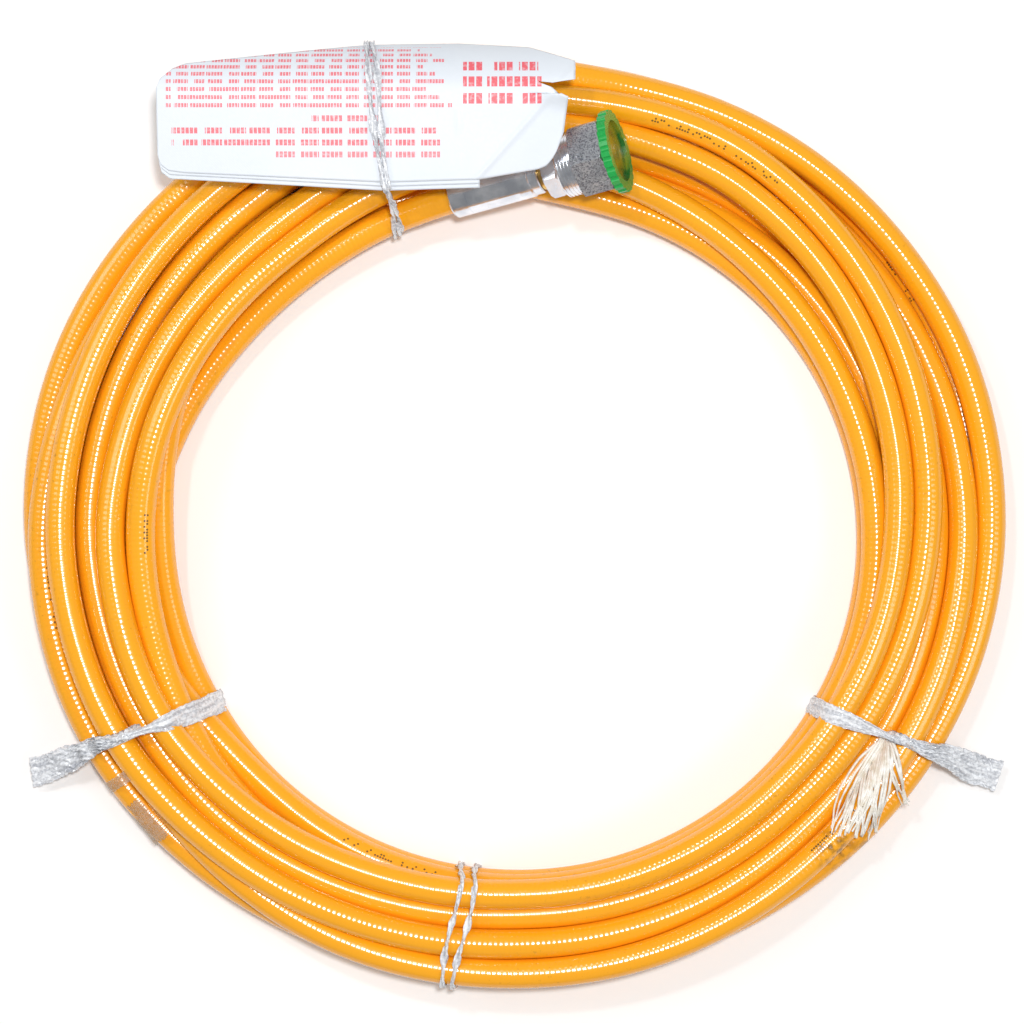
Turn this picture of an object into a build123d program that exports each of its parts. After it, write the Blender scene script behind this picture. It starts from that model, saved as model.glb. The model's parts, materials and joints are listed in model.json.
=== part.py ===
"""Coiled high-pressure paint hose for an airless sprayer, tied and tagged for storage.

The coil lies flat on its side. Origin: centre of the coil's outline, on the surface that it
lies on. +X runs to the right across the longer outside width of the oval coil, +Y to the tagged
side and +Z up. All sizes are millimetres.
"""

from build123d import *
import os
from math import atan2, cos, hypot, pi, radians, sin, sqrt, tan

os.makedirs("parts", exist_ok=True)

# ---------------------------------------------------------------- hose
HOSE_OD = 11.0            # outside of the cover
HOSE_ID = 6.4             # bore, quarter-inch hose
CORE_WALL = 0.9           # nylon core tube
BRAID_WALL = 0.7          # fibre braid round the core

# ---------------------------------------------------------------- coil, as wound and tied
COIL_OUTER_X = 188.0      # outside semi-axes of the oval
COIL_OUTER_Y = 176.5
COIL_OUTER_SQUARE = 0.565 # how much tighter than its height the oval's ends are bent
COIL_INNER_X = 130.4      # semi-axes of the opening
COIL_INNER_Y = 127.4
COIL_INNER_SQUARE = 0.8
COIL_INNER_SHIFT_X = 2.1  # the opening sits off centre, so the tied side is narrower
COIL_INNER_SHIFT_Y = -7.8
COIL_HEIGHT = 25.0        # two layers of hose, three where it is squeezed narrow
COIL_EDGE_R = 7.0         # rounded corners of the bundle

# ---------------------------------------------------------------- end fittings
FERRULE_OD = 16.4
FERRULE_LENGTH = 32.6
FERRULE_CHAMFER = 0.8
FERRULE_LIP = 2.6         # wall that closes the ferrule round the stem
CRIMP_FLATS = 8
CRIMP_AF = 15.5           # across the crimped flats
CRIMP_START = 7.0         # distance of the flats from the ferrule's mouth
CRIMP_LENGTH = 20.5
STEM_BORE = 4.6
STEM_LIP_OD = 9.0         # shank where it passes the ferrule's lip
SHANK_START = 1.5         # the stem's end, inside the ferrule's mouth
BARB_PITCH = 4.0
BARB_DEPTH = 0.5
FLANGE_OD = 15.5
FLANGE_WIDTH = 3.3
FLANGE_CHAMFER = 0.4
GROOVE_OD = 10.4
GROOVE_WIDTH = 2.4
CLIP_RING_OD = 13.6       # brass ring in the groove
STEM_HEX_AF = 19.0
STEM_HEX_WIDTH = 5.7
STEM_HEX_CHAMFER = 0.9
NECK_OD = 12.4            # journal that the swivel nut turns on
HEAD_WIDTH = 2.4
SEAT_OD = 12.0            # cone seat's small end
SEAT_LENGTH = 2.2
THRUST_RING_STEP = 0.3    # how far the thrust ring stays inside the head's edge
THRUST_RING_WIDTH = 0.9
NUT_AF = 25.4             # one-inch hex
NUT_HEX_WIDTH = 12.4
NUT_CHAMFER = 1.3
COLLAR_OD = 23.8
COLLAR_WIDTH = 6.7
COLLAR_CHAMFER = 0.6
COLLAR_FLOOR = 3.6        # wall of the collar behind the thrust ring
COLLAR_RINGS = 4          # fine turned grooves
COLLAR_RING_DEPTH = 0.3
COLLAR_RING_WIDTH = 0.5
THREAD_MINOR = 19.1       # half-inch straight pipe thread, at its minor diameter
THREAD_RELIEF_DEPTH = 0.95  # undercut between the thread and the head's chamber
THREAD_RELIEF_WIDTH = 1.2
THREAD_LEAD_IN = 0.8      # chamfer at the nut's mouth
NUT_ANGLE = 10.0          # how far the hexes are turned about their own axis, degrees
STEM_HEX_ANGLE = 24.0

# ---------------------------------------------------------------- plug cap
CAP_FLANGE_OD = 31.0
CAP_FLANGE_WIDTH = 3.2
CAP_FLUTES = 24
CAP_FLUTE_R = 1.3
CAP_RECESS_OD = 23.0
CAP_RECESS_DEPTH = 1.4
CAP_PLUG_LENGTH = 7.5
CAP_PLUG_WALL = 1.6
CAP_PLUG_TAPER = 0.6      # the plug's leading edge narrows by this
CAP_PLUG_LEAD = 1.5       # over this length
CAP_WEB = 1.8             # floor that closes the plug behind the flange
CAP_TRAVEL = 11.0         # far enough to free the plug from the nut

# ---------------------------------------------------------------- clearances
RUNNING = 0.08            # radial, between the journal and the nut
HEAD_CLEARANCE = 0.45     # radial, between the stem's head and the thread that it passes
CHAMBER_CLEARANCE = 0.2   # radial, between the stem's head and its chamber in the nut
LEAF_CLEARANCE = 0.3      # between the tag's lowest leaf and the nut under it
END_PLAY = 0.25           # axial, each side of the nut
CLIP_PLAY = 0.1           # axial, each side of the brass ring in its groove
PLUG_CLEARANCE = 0.06     # radial, plug in the thread
FERRULE_ROOM = 0.4        # between the ferrule and the turns beside it
FLOAT = 0.5               # between a nut's corners and the coil under it
LEAF_GAP = 0.4            # between the tag's leaves

# ---------------------------------------------------------------- where the fittings lie
A_MOUTH_X, A_MOUTH_Y = -22.6, 121.0   # mouth of the ferrule on the open side
A_HEADING = 13.2                      # degrees from +X, the way the end points
A_TILT = 18.0                         # it climbs from the opening onto the coil
B_MOUTH_X, B_MOUTH_Y = -40.0, 163.0   # the same for the end under the tag
B_HEADING = 194.2
B_TILT = 4.0

# ---------------------------------------------------------------- tag
LEAF_T = 0.25
TAG_SIDE = 21.0           # radius of the bend over the coil's outer side
TAG_FLAT_TO_Y = 152.0     # the tag lies nearly flat up to here
TAG_SLOPE = 9.0           # degrees, down towards the opening
TAG_BEND = 62.0           # degrees, how far its outer edge is bent down
TAG_INNER_Y = 122.6       # its edge on the opening's side
TAG_LIMIT_Y = 174.6
BACK_LEAF_END_X = -12.0
LEAF_STAGGER = 1.4        # each leaf shows past the one above it

# ---------------------------------------------------------------- ties and tape
TIE_T = 0.5
LEFT_TIE_ANGLE, LEFT_TIE_W = 207.8, 13.0
RIGHT_TIE_ANGLE, RIGHT_TIE_W = 330.2, 13.0
BOTTOM_TIE_ANGLES, BOTTOM_TIE_W = (260.2, 262.6), 2.6
TOP_TIE_ANGLES, TOP_TIE_W = (106.6, 108.0), 2.4
TAPE_ANGLES, TAPE_W, TAPE_T = (213.4, 219.4), 9.0, 0.25
TAPE_INWARD = 16.0        # how far the tape reaches in from the outside of the coil
TIE_END_T = 0.6
TIE_GAP = 0.3             # between the top tie and what it goes over
TAIL_SWERVE = 1.2         # room for the bend that the hose begins under the top tie
TIE_SLACK = 12.0          # how far a wrap's slab reaches past the bundle before it is trimmed
KNOT_INWARD = 22.9        # from the outside of the coil in to the knot
TASSEL_LENGTH = 40.0
TASSEL_T = 1.6
TASSEL_LIFT = 0.05        # between the tassel and the coil under it


# ================================================================ the coil's outline
def oval(semi_x, semi_y, square, grow):
    """Oval of four tangent arcs, its two ends tighter than its two sides, moved out by grow."""
    end_r = semi_y - square * (semi_x - semi_y) + grow
    semi_x += grow
    semi_y += grow
    side_r = (semi_x**2 + semi_y**2 - 2 * semi_x * end_r) / (2 * (semi_y - end_r))
    along_x = (semi_x - end_r) / (side_r - end_r)
    along_y = (side_r - semi_y) / (side_r - end_r)
    x = semi_x - end_r + end_r * along_x
    y = end_r * along_y
    arcs = [
        ThreePointArc((-x, y), (0, semi_y), (x, y)),
        ThreePointArc((x, y), (semi_x, 0), (x, -y)),
        ThreePointArc((x, -y), (0, -semi_y), (-x, -y)),
        ThreePointArc((-x, -y), (-semi_x, 0), (-x, y)),
    ]
    return Face(Wire(arcs))


def coil_body(inset):
    """The bundle of turns as one rounded oval ring, its surface moved inwards by inset."""
    outside = oval(COIL_OUTER_X, COIL_OUTER_Y, COIL_OUTER_SQUARE, -inset)
    opening = oval(COIL_INNER_X, COIL_INNER_Y, COIL_INNER_SQUARE, inset)
    opening = Location((COIL_INNER_SHIFT_X, COIL_INNER_SHIFT_Y)) * opening
    up = (0, 0, 1)
    ring = extrude(outside, COIL_HEIGHT - 2 * inset, dir=up) - extrude(opening, COIL_HEIGHT, dir=up)
    ring = fillet(ring.edges().filter_by(Axis.Z, reverse=True), COIL_EDGE_R - inset)
    return Pos(0, 0, inset) * ring


def ray_length(semi_x, semi_y, centre_x, centre_y, angle):
    """Distance from the origin to an oval along the ray at angle, in degrees.

    The oval is taken as the ellipse on the same axes, which it follows to within a millimetre.
    """
    ux = cos(radians(angle))
    uy = sin(radians(angle))
    a = (ux / semi_x) ** 2 + (uy / semi_y) ** 2
    b = -2 * (ux * centre_x / semi_x**2 + uy * centre_y / semi_y**2)
    c = (centre_x / semi_x) ** 2 + (centre_y / semi_y) ** 2 - 1
    return (-b + sqrt(b * b - 4 * a * c)) / (2 * a)


def outer_reach(angle):
    """Radius of the coil's outside at angle."""
    return ray_length(COIL_OUTER_X, COIL_OUTER_Y, 0, 0, angle)


def inner_reach(angle):
    """Radius of the coil's opening at angle."""
    return ray_length(
        COIL_INNER_X, COIL_INNER_Y, COIL_INNER_SHIFT_X, COIL_INNER_SHIFT_Y, angle
    )


def slab(angle, width, low, high):
    """Upright slab across the coil at angle, reaching from radius low to radius high."""
    tall = COIL_HEIGHT * 4
    middle = (low + high) / 2
    return Rot(0, 0, angle) * Pos(middle, 0, 0) * Box(high - low, width, tall)


# ================================================================ hose ends
def unit(heading, tilt):
    """Direction at a compass heading in the XY plane, tilted up."""
    return Vector(
        cos(radians(heading)) * cos(radians(tilt)),
        sin(radians(heading)) * cos(radians(tilt)),
        sin(radians(tilt)),
    )


# Stations along a fitting, from the ferrule's mouth.
AT_FLANGE = FERRULE_LENGTH
AT_GROOVE = AT_FLANGE + FLANGE_WIDTH
AT_STEM_HEX = AT_GROOVE + GROOVE_WIDTH
AT_NECK = AT_STEM_HEX + STEM_HEX_WIDTH
AT_NUT = AT_NECK + END_PLAY
AT_SHOULDER = AT_NUT + COLLAR_FLOOR
AT_HEAD = AT_SHOULDER + END_PLAY + THRUST_RING_WIDTH
AT_SEAT = AT_HEAD + HEAD_WIDTH
AT_RELIEF = AT_SEAT + SEAT_LENGTH
AT_NUT_HEX = AT_NUT + COLLAR_WIDTH
AT_NUT_END = AT_NUT_HEX + NUT_HEX_WIDTH
AT_CAP = AT_NUT_END + END_PLAY
NUT_CORNER_R = NUT_AF / 2 / cos(pi / 6)


def fitting_plane(x, y, heading, tilt):
    """Frame of a fitting: origin at its mouth, +Z along its axis, +X up from the coil.

    The nut's lowest corner, on its hex's near end, is just clear of the coil.
    """
    axis = unit(heading, tilt)
    nut_z = COIL_HEIGHT + FLOAT + NUT_CORNER_R * cos(radians(tilt))
    mouth_z = nut_z - axis.Z * AT_NUT_HEX
    up = Vector(0, 0, 1) - axis * axis.Z
    return Plane(origin=(x, y, mouth_z), x_dir=up, z_dir=axis)


PLANE_A = fitting_plane(A_MOUTH_X, A_MOUTH_Y, A_HEADING, A_TILT)
PLANE_B = fitting_plane(B_MOUTH_X, B_MOUTH_Y, B_HEADING, B_TILT)
HOSE_INSERTED = FERRULE_LENGTH - FERRULE_LIP
HEAD_OD = THREAD_MINOR - 2 * HEAD_CLEARANCE
THRUST_RING_OD = HEAD_OD - 2 * THRUST_RING_STEP
TAIL_STRAIGHT = 17.0      # from each ferrule's mouth to the hose's first turn

# Where the hose leaves the bundle and climbs to each fitting, from the fitting inwards.
ROUTE_A = [
    (-69.7, 101.0, 14.5),
    (-97.4, 78.8, 12.5),
    (-120.6, 50.4, 11.5),
    (-134.3, 22.6, 11.0),
]
ROUTE_B = [
    (3.0, 169.0, 26.5),
    (38.5, 164.6, 18.5),
]


def hose_path(plane, route, name):
    """Straight runs joined by tangent arcs, each as large as its two runs allow."""
    start = plane.origin + plane.z_dir * HOSE_INSERTED
    bend = plane.origin - plane.z_dir * TAIL_STRAIGHT
    points = [start, bend] + [Vector(*p) for p in route]
    radii = []
    for before, at, after in zip(points, points[1:], points[2:]):
        turn = (at - before).get_angle(after - at)
        shorter = min((at - before).length, (after - at).length)
        radii.append(0.45 * shorter / tan(radians(turn / 2)))
    print(name, "arc radii", [round(r) for r in radii])
    return FilletPolyline(*points, radius=radii)


def hose_tail(plane, route, name):
    """The stretch of hose between the bundle and its fitting, open down its bore."""
    path = hose_path(plane, route, name)
    section = Plane(origin=path @ 0, z_dir=path % 0) * (Circle(HOSE_OD / 2) - Circle(HOSE_ID / 2))
    tube = sweep(section, path=path)
    area = pi * (HOSE_OD**2 - HOSE_ID**2) / 4
    print(name, "volume", round(tube.volume), "section times length", round(area * path.length))
    inner = CORE_WALL + BRAID_WALL + HOSE_ID / 2
    pocket = plane.location * Cylinder(
        inner, HOSE_INSERTED, align=(Align.CENTER, Align.CENTER, Align.MIN)
    )
    return tube - pocket


def sleeve(inner_d, outer_d, start, length):
    """Plain round sleeve along local Z."""
    align = (Align.CENTER, Align.CENTER, Align.MIN)
    body = Cylinder(outer_d / 2, length, align=align)
    body -= Cylinder(inner_d / 2, length, align=align)
    return Pos(0, 0, start) * body


def ferrule():
    """Crimped shell over the hose, with a lip that grips the stem."""
    align = (Align.CENTER, Align.CENTER, Align.MIN)
    body = Cylinder(FERRULE_OD / 2, FERRULE_LENGTH, align=align)
    body = chamfer(body.edges().sort_by(Axis.Z)[0], FERRULE_CHAMFER)
    body = chamfer(body.edges().sort_by(Axis.Z)[-1], FERRULE_CHAMFER)
    ring = Cylinder(FERRULE_OD, CRIMP_LENGTH, align=align)
    ring -= extrude(RegularPolygon(CRIMP_AF / 2, CRIMP_FLATS, major_radius=False), CRIMP_LENGTH)
    body -= Pos(0, 0, CRIMP_START) * ring
    body -= Cylinder(HOSE_OD / 2, HOSE_INSERTED, align=align)
    body -= Cylinder(STEM_LIP_OD / 2, FERRULE_LENGTH, align=align)
    return body


def revolved(profile):
    """Solid of revolution about local Z from (radius, height) corners."""
    outline = Polyline(*[(r, 0, z) for r, z in profile], close=True)
    return revolve(make_face(outline), Axis.Z, 360)


def stem():
    """Barbed insert: shank, ferrule flange, ring groove, hex, journal, head and cone seat."""
    shank_r = HOSE_ID / 2
    profile = [(STEM_BORE / 2, SHANK_START), (shank_r - BARB_DEPTH, SHANK_START)]
    barbs = int((HOSE_INSERTED - SHANK_START) // BARB_PITCH)
    for i in range(barbs):
        low = SHANK_START + 1.0 + i * BARB_PITCH
        profile += [
            (shank_r - BARB_DEPTH, low),
            (shank_r, low + BARB_PITCH * 0.8),
            (shank_r, low + BARB_PITCH * 0.95),
        ]
    profile += [
        (shank_r, HOSE_INSERTED),
        (STEM_LIP_OD / 2, HOSE_INSERTED),
        (STEM_LIP_OD / 2, AT_FLANGE),
        (FLANGE_OD / 2, AT_FLANGE),
        (FLANGE_OD / 2, AT_GROOVE - FLANGE_CHAMFER),
        (FLANGE_OD / 2 - FLANGE_CHAMFER, AT_GROOVE),
        (GROOVE_OD / 2, AT_GROOVE),
        (GROOVE_OD / 2, AT_STEM_HEX),
        (NECK_OD / 2, AT_STEM_HEX),
        (NECK_OD / 2, AT_HEAD),
        (HEAD_OD / 2, AT_HEAD),
        (HEAD_OD / 2, AT_SEAT),
        (SEAT_OD / 2, AT_SEAT + SEAT_LENGTH),
        (STEM_BORE / 2, AT_SEAT + SEAT_LENGTH),
    ]
    body = revolved(profile)
    blank = extrude(
        RegularPolygon(STEM_HEX_AF / 2, 6, major_radius=False, rotation=STEM_HEX_ANGLE),
        STEM_HEX_WIDTH,
    )
    corner = STEM_HEX_AF / 2 / cos(pi / 6)
    round_off = chamfer(
        Cylinder(corner, STEM_HEX_WIDTH, align=(Align.CENTER, Align.CENTER, Align.MIN))
        .edges()
        .filter_by(GeomType.CIRCLE),
        STEM_HEX_CHAMFER,
    )
    hexagon = (blank & round_off) - Cylinder(NECK_OD / 2, 4 * STEM_HEX_WIDTH)
    return body + Pos(0, 0, AT_STEM_HEX) * hexagon


def swivel_nut():
    """Hex nut with a turned collar. It turns on the stem's journal."""
    align = (Align.CENTER, Align.CENTER, Align.MIN)
    blank = extrude(
        RegularPolygon(NUT_AF / 2, 6, major_radius=False, rotation=NUT_ANGLE), NUT_HEX_WIDTH
    )
    round_off = chamfer(
        Cylinder(NUT_CORNER_R, NUT_HEX_WIDTH, align=align).edges().filter_by(GeomType.CIRCLE),
        NUT_CHAMFER * 0.6,
        NUT_CHAMFER,
    )
    body = Pos(0, 0, AT_NUT_HEX) * (blank & round_off)
    collar = Cylinder(COLLAR_OD / 2, COLLAR_WIDTH, align=align)
    collar = chamfer(collar.edges().sort_by(Axis.Z)[0], COLLAR_CHAMFER)
    pitch = COLLAR_WIDTH / (COLLAR_RINGS + 1)
    for i in range(COLLAR_RINGS):
        groove = sleeve(
            COLLAR_OD - 2 * COLLAR_RING_DEPTH,
            COLLAR_OD + 2,
            (i + 1) * pitch - COLLAR_RING_WIDTH / 2,
            COLLAR_RING_WIDTH,
        )
        collar -= groove
    body += Pos(0, 0, AT_NUT) * collar
    body -= Pos(0, 0, AT_NUT) * Cylinder(NECK_OD / 2 + RUNNING, NUT_HEX_WIDTH, align=align)
    chamber_r = HEAD_OD / 2 + CHAMBER_CLEARANCE
    bore = [
        (0, AT_SHOULDER),
        (chamber_r, AT_SHOULDER),
        (chamber_r, AT_RELIEF),
        (THREAD_MINOR / 2 + THREAD_RELIEF_DEPTH, AT_RELIEF),
        (THREAD_MINOR / 2 + THREAD_RELIEF_DEPTH, AT_RELIEF + THREAD_RELIEF_WIDTH),
        (THREAD_MINOR / 2, AT_RELIEF + THREAD_RELIEF_WIDTH),
        (THREAD_MINOR / 2, AT_NUT_END - THREAD_LEAD_IN),
        (THREAD_MINOR / 2 + THREAD_LEAD_IN, AT_NUT_END),
        (0, AT_NUT_END),
    ]
    return body - revolved(bore)


def plug_cap():
    """Push-in plastic plug with a fluted flange and a shallow recess in its face."""
    align = (Align.CENTER, Align.CENTER, Align.MIN)
    flange = Cylinder(CAP_FLANGE_OD / 2, CAP_FLANGE_WIDTH, align=align)
    flute = Cylinder(CAP_FLUTE_R, CAP_FLANGE_WIDTH, align=align)
    reach = CAP_FLANGE_OD / 2 + CAP_FLUTE_R * 0.45
    for i in range(CAP_FLUTES):
        flange -= Rot(0, 0, 360 * i / CAP_FLUTES) * Pos(reach, 0, 0) * flute
    flange -= Pos(0, 0, CAP_FLANGE_WIDTH - CAP_RECESS_DEPTH) * Cylinder(
        CAP_RECESS_OD / 2, CAP_RECESS_DEPTH, align=align
    )
    plug_r = THREAD_MINOR / 2 - PLUG_CLEARANCE
    plug = revolved(
        [
            (0, -CAP_WEB),
            (plug_r - CAP_PLUG_WALL, -CAP_WEB),
            (plug_r - CAP_PLUG_WALL, -CAP_PLUG_LENGTH),
            (plug_r - CAP_PLUG_TAPER, -CAP_PLUG_LENGTH),
            (plug_r, CAP_PLUG_LEAD - CAP_PLUG_LENGTH),
            (plug_r, 0),
            (0, 0),
        ]
    )
    return Pos(0, 0, AT_CAP) * (flange + plug)


# ================================================================ tag
# The lowest leaf lies just clear of the mouth of the nut under it.
B_NUT_MOUTH = PLANE_B.origin + PLANE_B.z_dir * AT_NUT_END
LEAF_STEP = LEAF_T + LEAF_GAP
OVER_B_AXIS = NUT_CORNER_R + LEAF_CLEARANCE + 2 * LEAF_STEP + LEAF_T
TAG_CREST = (
    B_NUT_MOUTH.Z
    + OVER_B_AXIS / cos(radians(TAG_SLOPE))
    + (TAG_FLAT_TO_Y - B_NUT_MOUTH.Y) * tan(radians(TAG_SLOPE))
)
TAG_BEND_Y = TAG_FLAT_TO_Y + TAG_SIDE * sin(radians(TAG_SLOPE))
TAG_BEND_Z = TAG_CREST - TAG_SIDE * cos(radians(TAG_SLOPE))


def on_bend(radius, angle):
    """Point of the YZ plane on the tag's bend, angle in degrees from straight up."""
    y = TAG_BEND_Y + radius * sin(radians(angle))
    z = TAG_BEND_Z + radius * cos(radians(angle))
    return Vector(0, y, z)


def leaf_sheet(lower):
    """Endless leaf, LEAF_T thick, its upper face lower millimetres under the top leaf's."""
    top_r = TAG_SIDE - lower
    low_r = top_r - LEAF_T
    inward = Vector(0, -cos(radians(TAG_SLOPE)), -sin(radians(TAG_SLOPE))) * COIL_OUTER_Y / 4
    outward = Vector(0, cos(radians(TAG_BEND)), -sin(radians(TAG_BEND))) * COIL_OUTER_Y / 4
    middle = (TAG_BEND - TAG_SLOPE) / 2
    top = [on_bend(top_r, a) for a in (-TAG_SLOPE, middle, TAG_BEND)]
    low = [on_bend(low_r, a) for a in (-TAG_SLOPE, middle, TAG_BEND)]
    outline = Wire(
        [
            Line(top[0] + inward, top[0]),
            ThreePointArc(*top),
            Line(top[2], top[2] + outward),
            Line(top[2] + outward, low[2] + outward),
            Line(low[2] + outward, low[2]),
            ThreePointArc(*reversed(low)),
            Line(low[0], low[0] + inward),
            Line(low[0] + inward, top[0] + inward),
        ]
    )
    width = 2 * COIL_OUTER_X
    return Pos(-width / 2, 0, 0) * extrude(Face(outline), width, dir=(1, 0, 0))


def front_leaf_height(y):
    """Height of the front leaf's upper face at y, on its nearly flat part."""
    return TAG_CREST - (TAG_FLAT_TO_Y - y) * tan(radians(TAG_SLOPE))


FRONT_LEAF = [
    (-129.5, 126.6),
    (-126.0, 160.0),
    (-119.0, 165.5),
    (-52.8, 173.8),
    (-20.0, TAG_LIMIT_Y),
    (6.0, 172.6),
    (22.8, 166.6),
    (22.8, 155.6),
    (15.6, 154.6),
    (8.2, 154.4),
    (14.4, 153.2),
    (20.2, 147.5),
    (18.6, 134.6),
    (15.0, 129.8),
    (9.4, 127.4),
    (-11.9, 123.6),
    (-46.6, TAG_INNER_Y),
]


def back_leaf_outline(step):
    """Outline of a leaf that ends part way and shows step millimetres past the front leaf."""
    return [
        (-129.0, 126.6 - step),
        (-125.6, 159.0),
        (-118.6, 164.4),
        (-52.8, 172.6),
        (BACK_LEAF_END_X, 173.4),
        (BACK_LEAF_END_X, 123.6 - step),
        (-46.6, TAG_INNER_Y - step),
    ]


def tag_leaf(outline, lower):
    """One leaf of the tag: the bent sheet inside its outline."""
    post = extrude(make_face(Polyline(*outline, close=True)), 4 * COIL_HEIGHT)
    return leaf_sheet(lower) & post


# ================================================================ ties
def round_bundle(angle, width, inset_coil):
    """Slab across the bundle at angle, all but what is inside the inset coil."""
    low = inner_reach(angle) - TIE_SLACK
    high = outer_reach(angle) + TIE_SLACK
    return slab(angle, width, low, high) - inset_coil


def on_shoulder(angle, width, inset_coil):
    """The same over the coil's outer shoulder only, clear of the surface that it lies on."""
    high = outer_reach(angle) + TIE_SLACK
    low = outer_reach(angle) - TAPE_INWARD
    patch = slab(angle, width, low, high) - inset_coil
    return patch - Box(3 * COIL_OUTER_X, 3 * COIL_OUTER_X, 2 * COIL_EDGE_R)


def under_top_tie(angle):
    """Where the hose behind end A, straight there, passes under the top tie."""
    across = Vector(sin(radians(angle)), -cos(radians(angle)), 0)
    behind = PLANE_A.origin.dot(across) / PLANE_A.z_dir.dot(across)
    return PLANE_A.origin - PLANE_A.z_dir * behind


def top_tie(angle):
    """Strand of the top tie: over the tag, down the outside, under the coil and up inside."""
    lean = sin(radians(angle))
    inner = inner_reach(angle)
    outer = outer_reach(angle)
    tail = under_top_tie(angle)
    past_tail = hypot(tail.X, tail.Y) - HOSE_OD / 2 - TAIL_SWERVE - TIE_T - TIE_GAP
    edge_y = TAG_INNER_Y - 2 * LEAF_STAGGER - TIE_GAP
    above = TIE_T + TIE_GAP
    loop = [
        (inner - TIE_T, 0),
        (inner - TIE_T, COIL_EDGE_R),
        (past_tail, tail.Z - HOSE_OD / 2),
        (past_tail, tail.Z + HOSE_OD / 2),
        (edge_y / lean - above, front_leaf_height(edge_y) - 2 * above),
        (edge_y / lean - above, front_leaf_height(edge_y) + above),
    ]
    step = (TAG_BEND + TAG_SLOPE) / 4
    for i in range(5):
        point = on_bend((TAG_SIDE + above) / cos(radians(step / 2)), i * step - TAG_SLOPE)
        loop.append((point.Y / lean, point.Z))
    loop += [
        ((TAG_LIMIT_Y + above) / lean, TAG_BEND_Z + TAG_SIDE / 4),
        (outer + TIE_T, COIL_HEIGHT - COIL_EDGE_R),
        (outer + TIE_T, 0),
    ]
    plane = Plane(
        origin=(0, 0, 0),
        x_dir=(cos(radians(angle)), lean, 0),
        z_dir=(lean, -cos(radians(angle)), 0),
    )
    solid = make_face(Polyline(*loop, close=True))
    hole = offset(solid, amount=-TIE_T, kind=Kind.INTERSECTION)
    return extrude(plane * (solid - hole), TOP_TIE_W / 2, both=True)


def degrees_down(fall, run):
    """Angle at which something run long falls by fall."""
    return atan2(fall - TIE_END_T, run) * 180 / pi


def tie_end(angle, width_near, width_far, reach, drop_from):
    """Flattened free end of a ribbon tie: leaves the coil's outside and droops to the surface."""
    near = outer_reach(angle) - COIL_EDGE_R / 4
    far = near + reach
    outline = Polyline(
        (near, -width_near / 2),
        (far, -width_far / 2),
        (far, width_far / 2),
        (near, width_near / 2),
        close=True,
    )
    plate = Pos(-near, 0, 0) * extrude(make_face(outline), TIE_END_T)
    drooping = Rot(0, degrees_down(drop_from, reach), 0) * plate
    return Rot(0, 0, angle) * Pos(near, 0, drop_from) * drooping - coil_body(0)


def tassel(angle, start_r, swing, near_w, far_w):
    """Frayed strands of a tie, as one flat bundle lying on top of the coil."""
    outline = Polyline(
        (0, -near_w / 2),
        (TASSEL_LENGTH, -far_w / 2),
        (TASSEL_LENGTH, far_w / 2),
        (0, near_w / 2),
        close=True,
    )
    plate = extrude(make_face(outline), TASSEL_T)
    knot = Pos(start_r * cos(radians(angle)), start_r * sin(radians(angle)), 0)
    return knot * Pos(0, 0, COIL_HEIGHT + TASSEL_LIFT) * Rot(0, 0, angle + swing) * plate


# ================================================================ assembly
parts = {}
for end, plane, route in (("a", PLANE_A, ROUTE_A), ("b", PLANE_B, ROUTE_B)):
    place = plane.location
    core_od = HOSE_ID + 2 * CORE_WALL
    parts["hose_tail_" + end] = hose_tail(plane, route, "hose_tail_" + end)
    parts["core_tube_" + end] = place * sleeve(HOSE_ID, core_od, 0, HOSE_INSERTED)
    parts["braid_" + end] = place * sleeve(core_od, core_od + 2 * BRAID_WALL, 0, HOSE_INSERTED)
    parts["ferrule_" + end] = place * ferrule()
    parts["stem_" + end] = place * stem()
    parts["clip_ring_" + end] = place * sleeve(
        GROOVE_OD, CLIP_RING_OD, AT_GROOVE + CLIP_PLAY, GROOVE_WIDTH - 2 * CLIP_PLAY
    )
    parts["thrust_ring_" + end] = place * sleeve(
        NECK_OD, THRUST_RING_OD, AT_HEAD - THRUST_RING_WIDTH, THRUST_RING_WIDTH
    )
    parts["swivel_nut_" + end] = place * swivel_nut()
parts["plug_cap"] = PLANE_A.location * plug_cap()

parts["tag_front_leaf"] = tag_leaf(FRONT_LEAF, 0)
parts["tag_middle_leaf"] = tag_leaf(back_leaf_outline(LEAF_STAGGER), LEAF_STEP)
parts["tag_back_leaf"] = tag_leaf(back_leaf_outline(2 * LEAF_STAGGER), 2 * LEAF_STEP)

# The turns part to make room for the ferrule that climbs out of the opening.
coil = coil_body(0)
coil -= PLANE_A.location * Pos(0, 0, -FERRULE_ROOM) * Cylinder(
    FERRULE_OD / 2 + FERRULE_ROOM,
    FERRULE_LENGTH + 2 * FERRULE_ROOM,
    align=(Align.CENTER, Align.CENTER, Align.MIN),
)
under_tie = coil_body(TIE_T)
under_tape = coil_body(TAPE_T)
wraps = {
    "left_tie": round_bundle(LEFT_TIE_ANGLE, LEFT_TIE_W, under_tie),
    "right_tie": round_bundle(RIGHT_TIE_ANGLE, RIGHT_TIE_W, under_tie),
}
for i, angle in enumerate(BOTTOM_TIE_ANGLES, start=1):
    wraps[f"bottom_tie_{i}"] = round_bundle(angle, BOTTOM_TIE_W, under_tie)
for i, angle in enumerate(TAPE_ANGLES, start=1):
    wraps[f"tape_{i}"] = on_shoulder(angle, TAPE_W, under_tape)
for name, around in wraps.items():
    parts[name] = coil_body(0) & around
    coil -= around
for i, angle in enumerate(TOP_TIE_ANGLES, start=1):
    parts[f"top_tie_{i}"] = top_tie(angle)
    coil -= parts[f"top_tie_{i}"]
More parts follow.
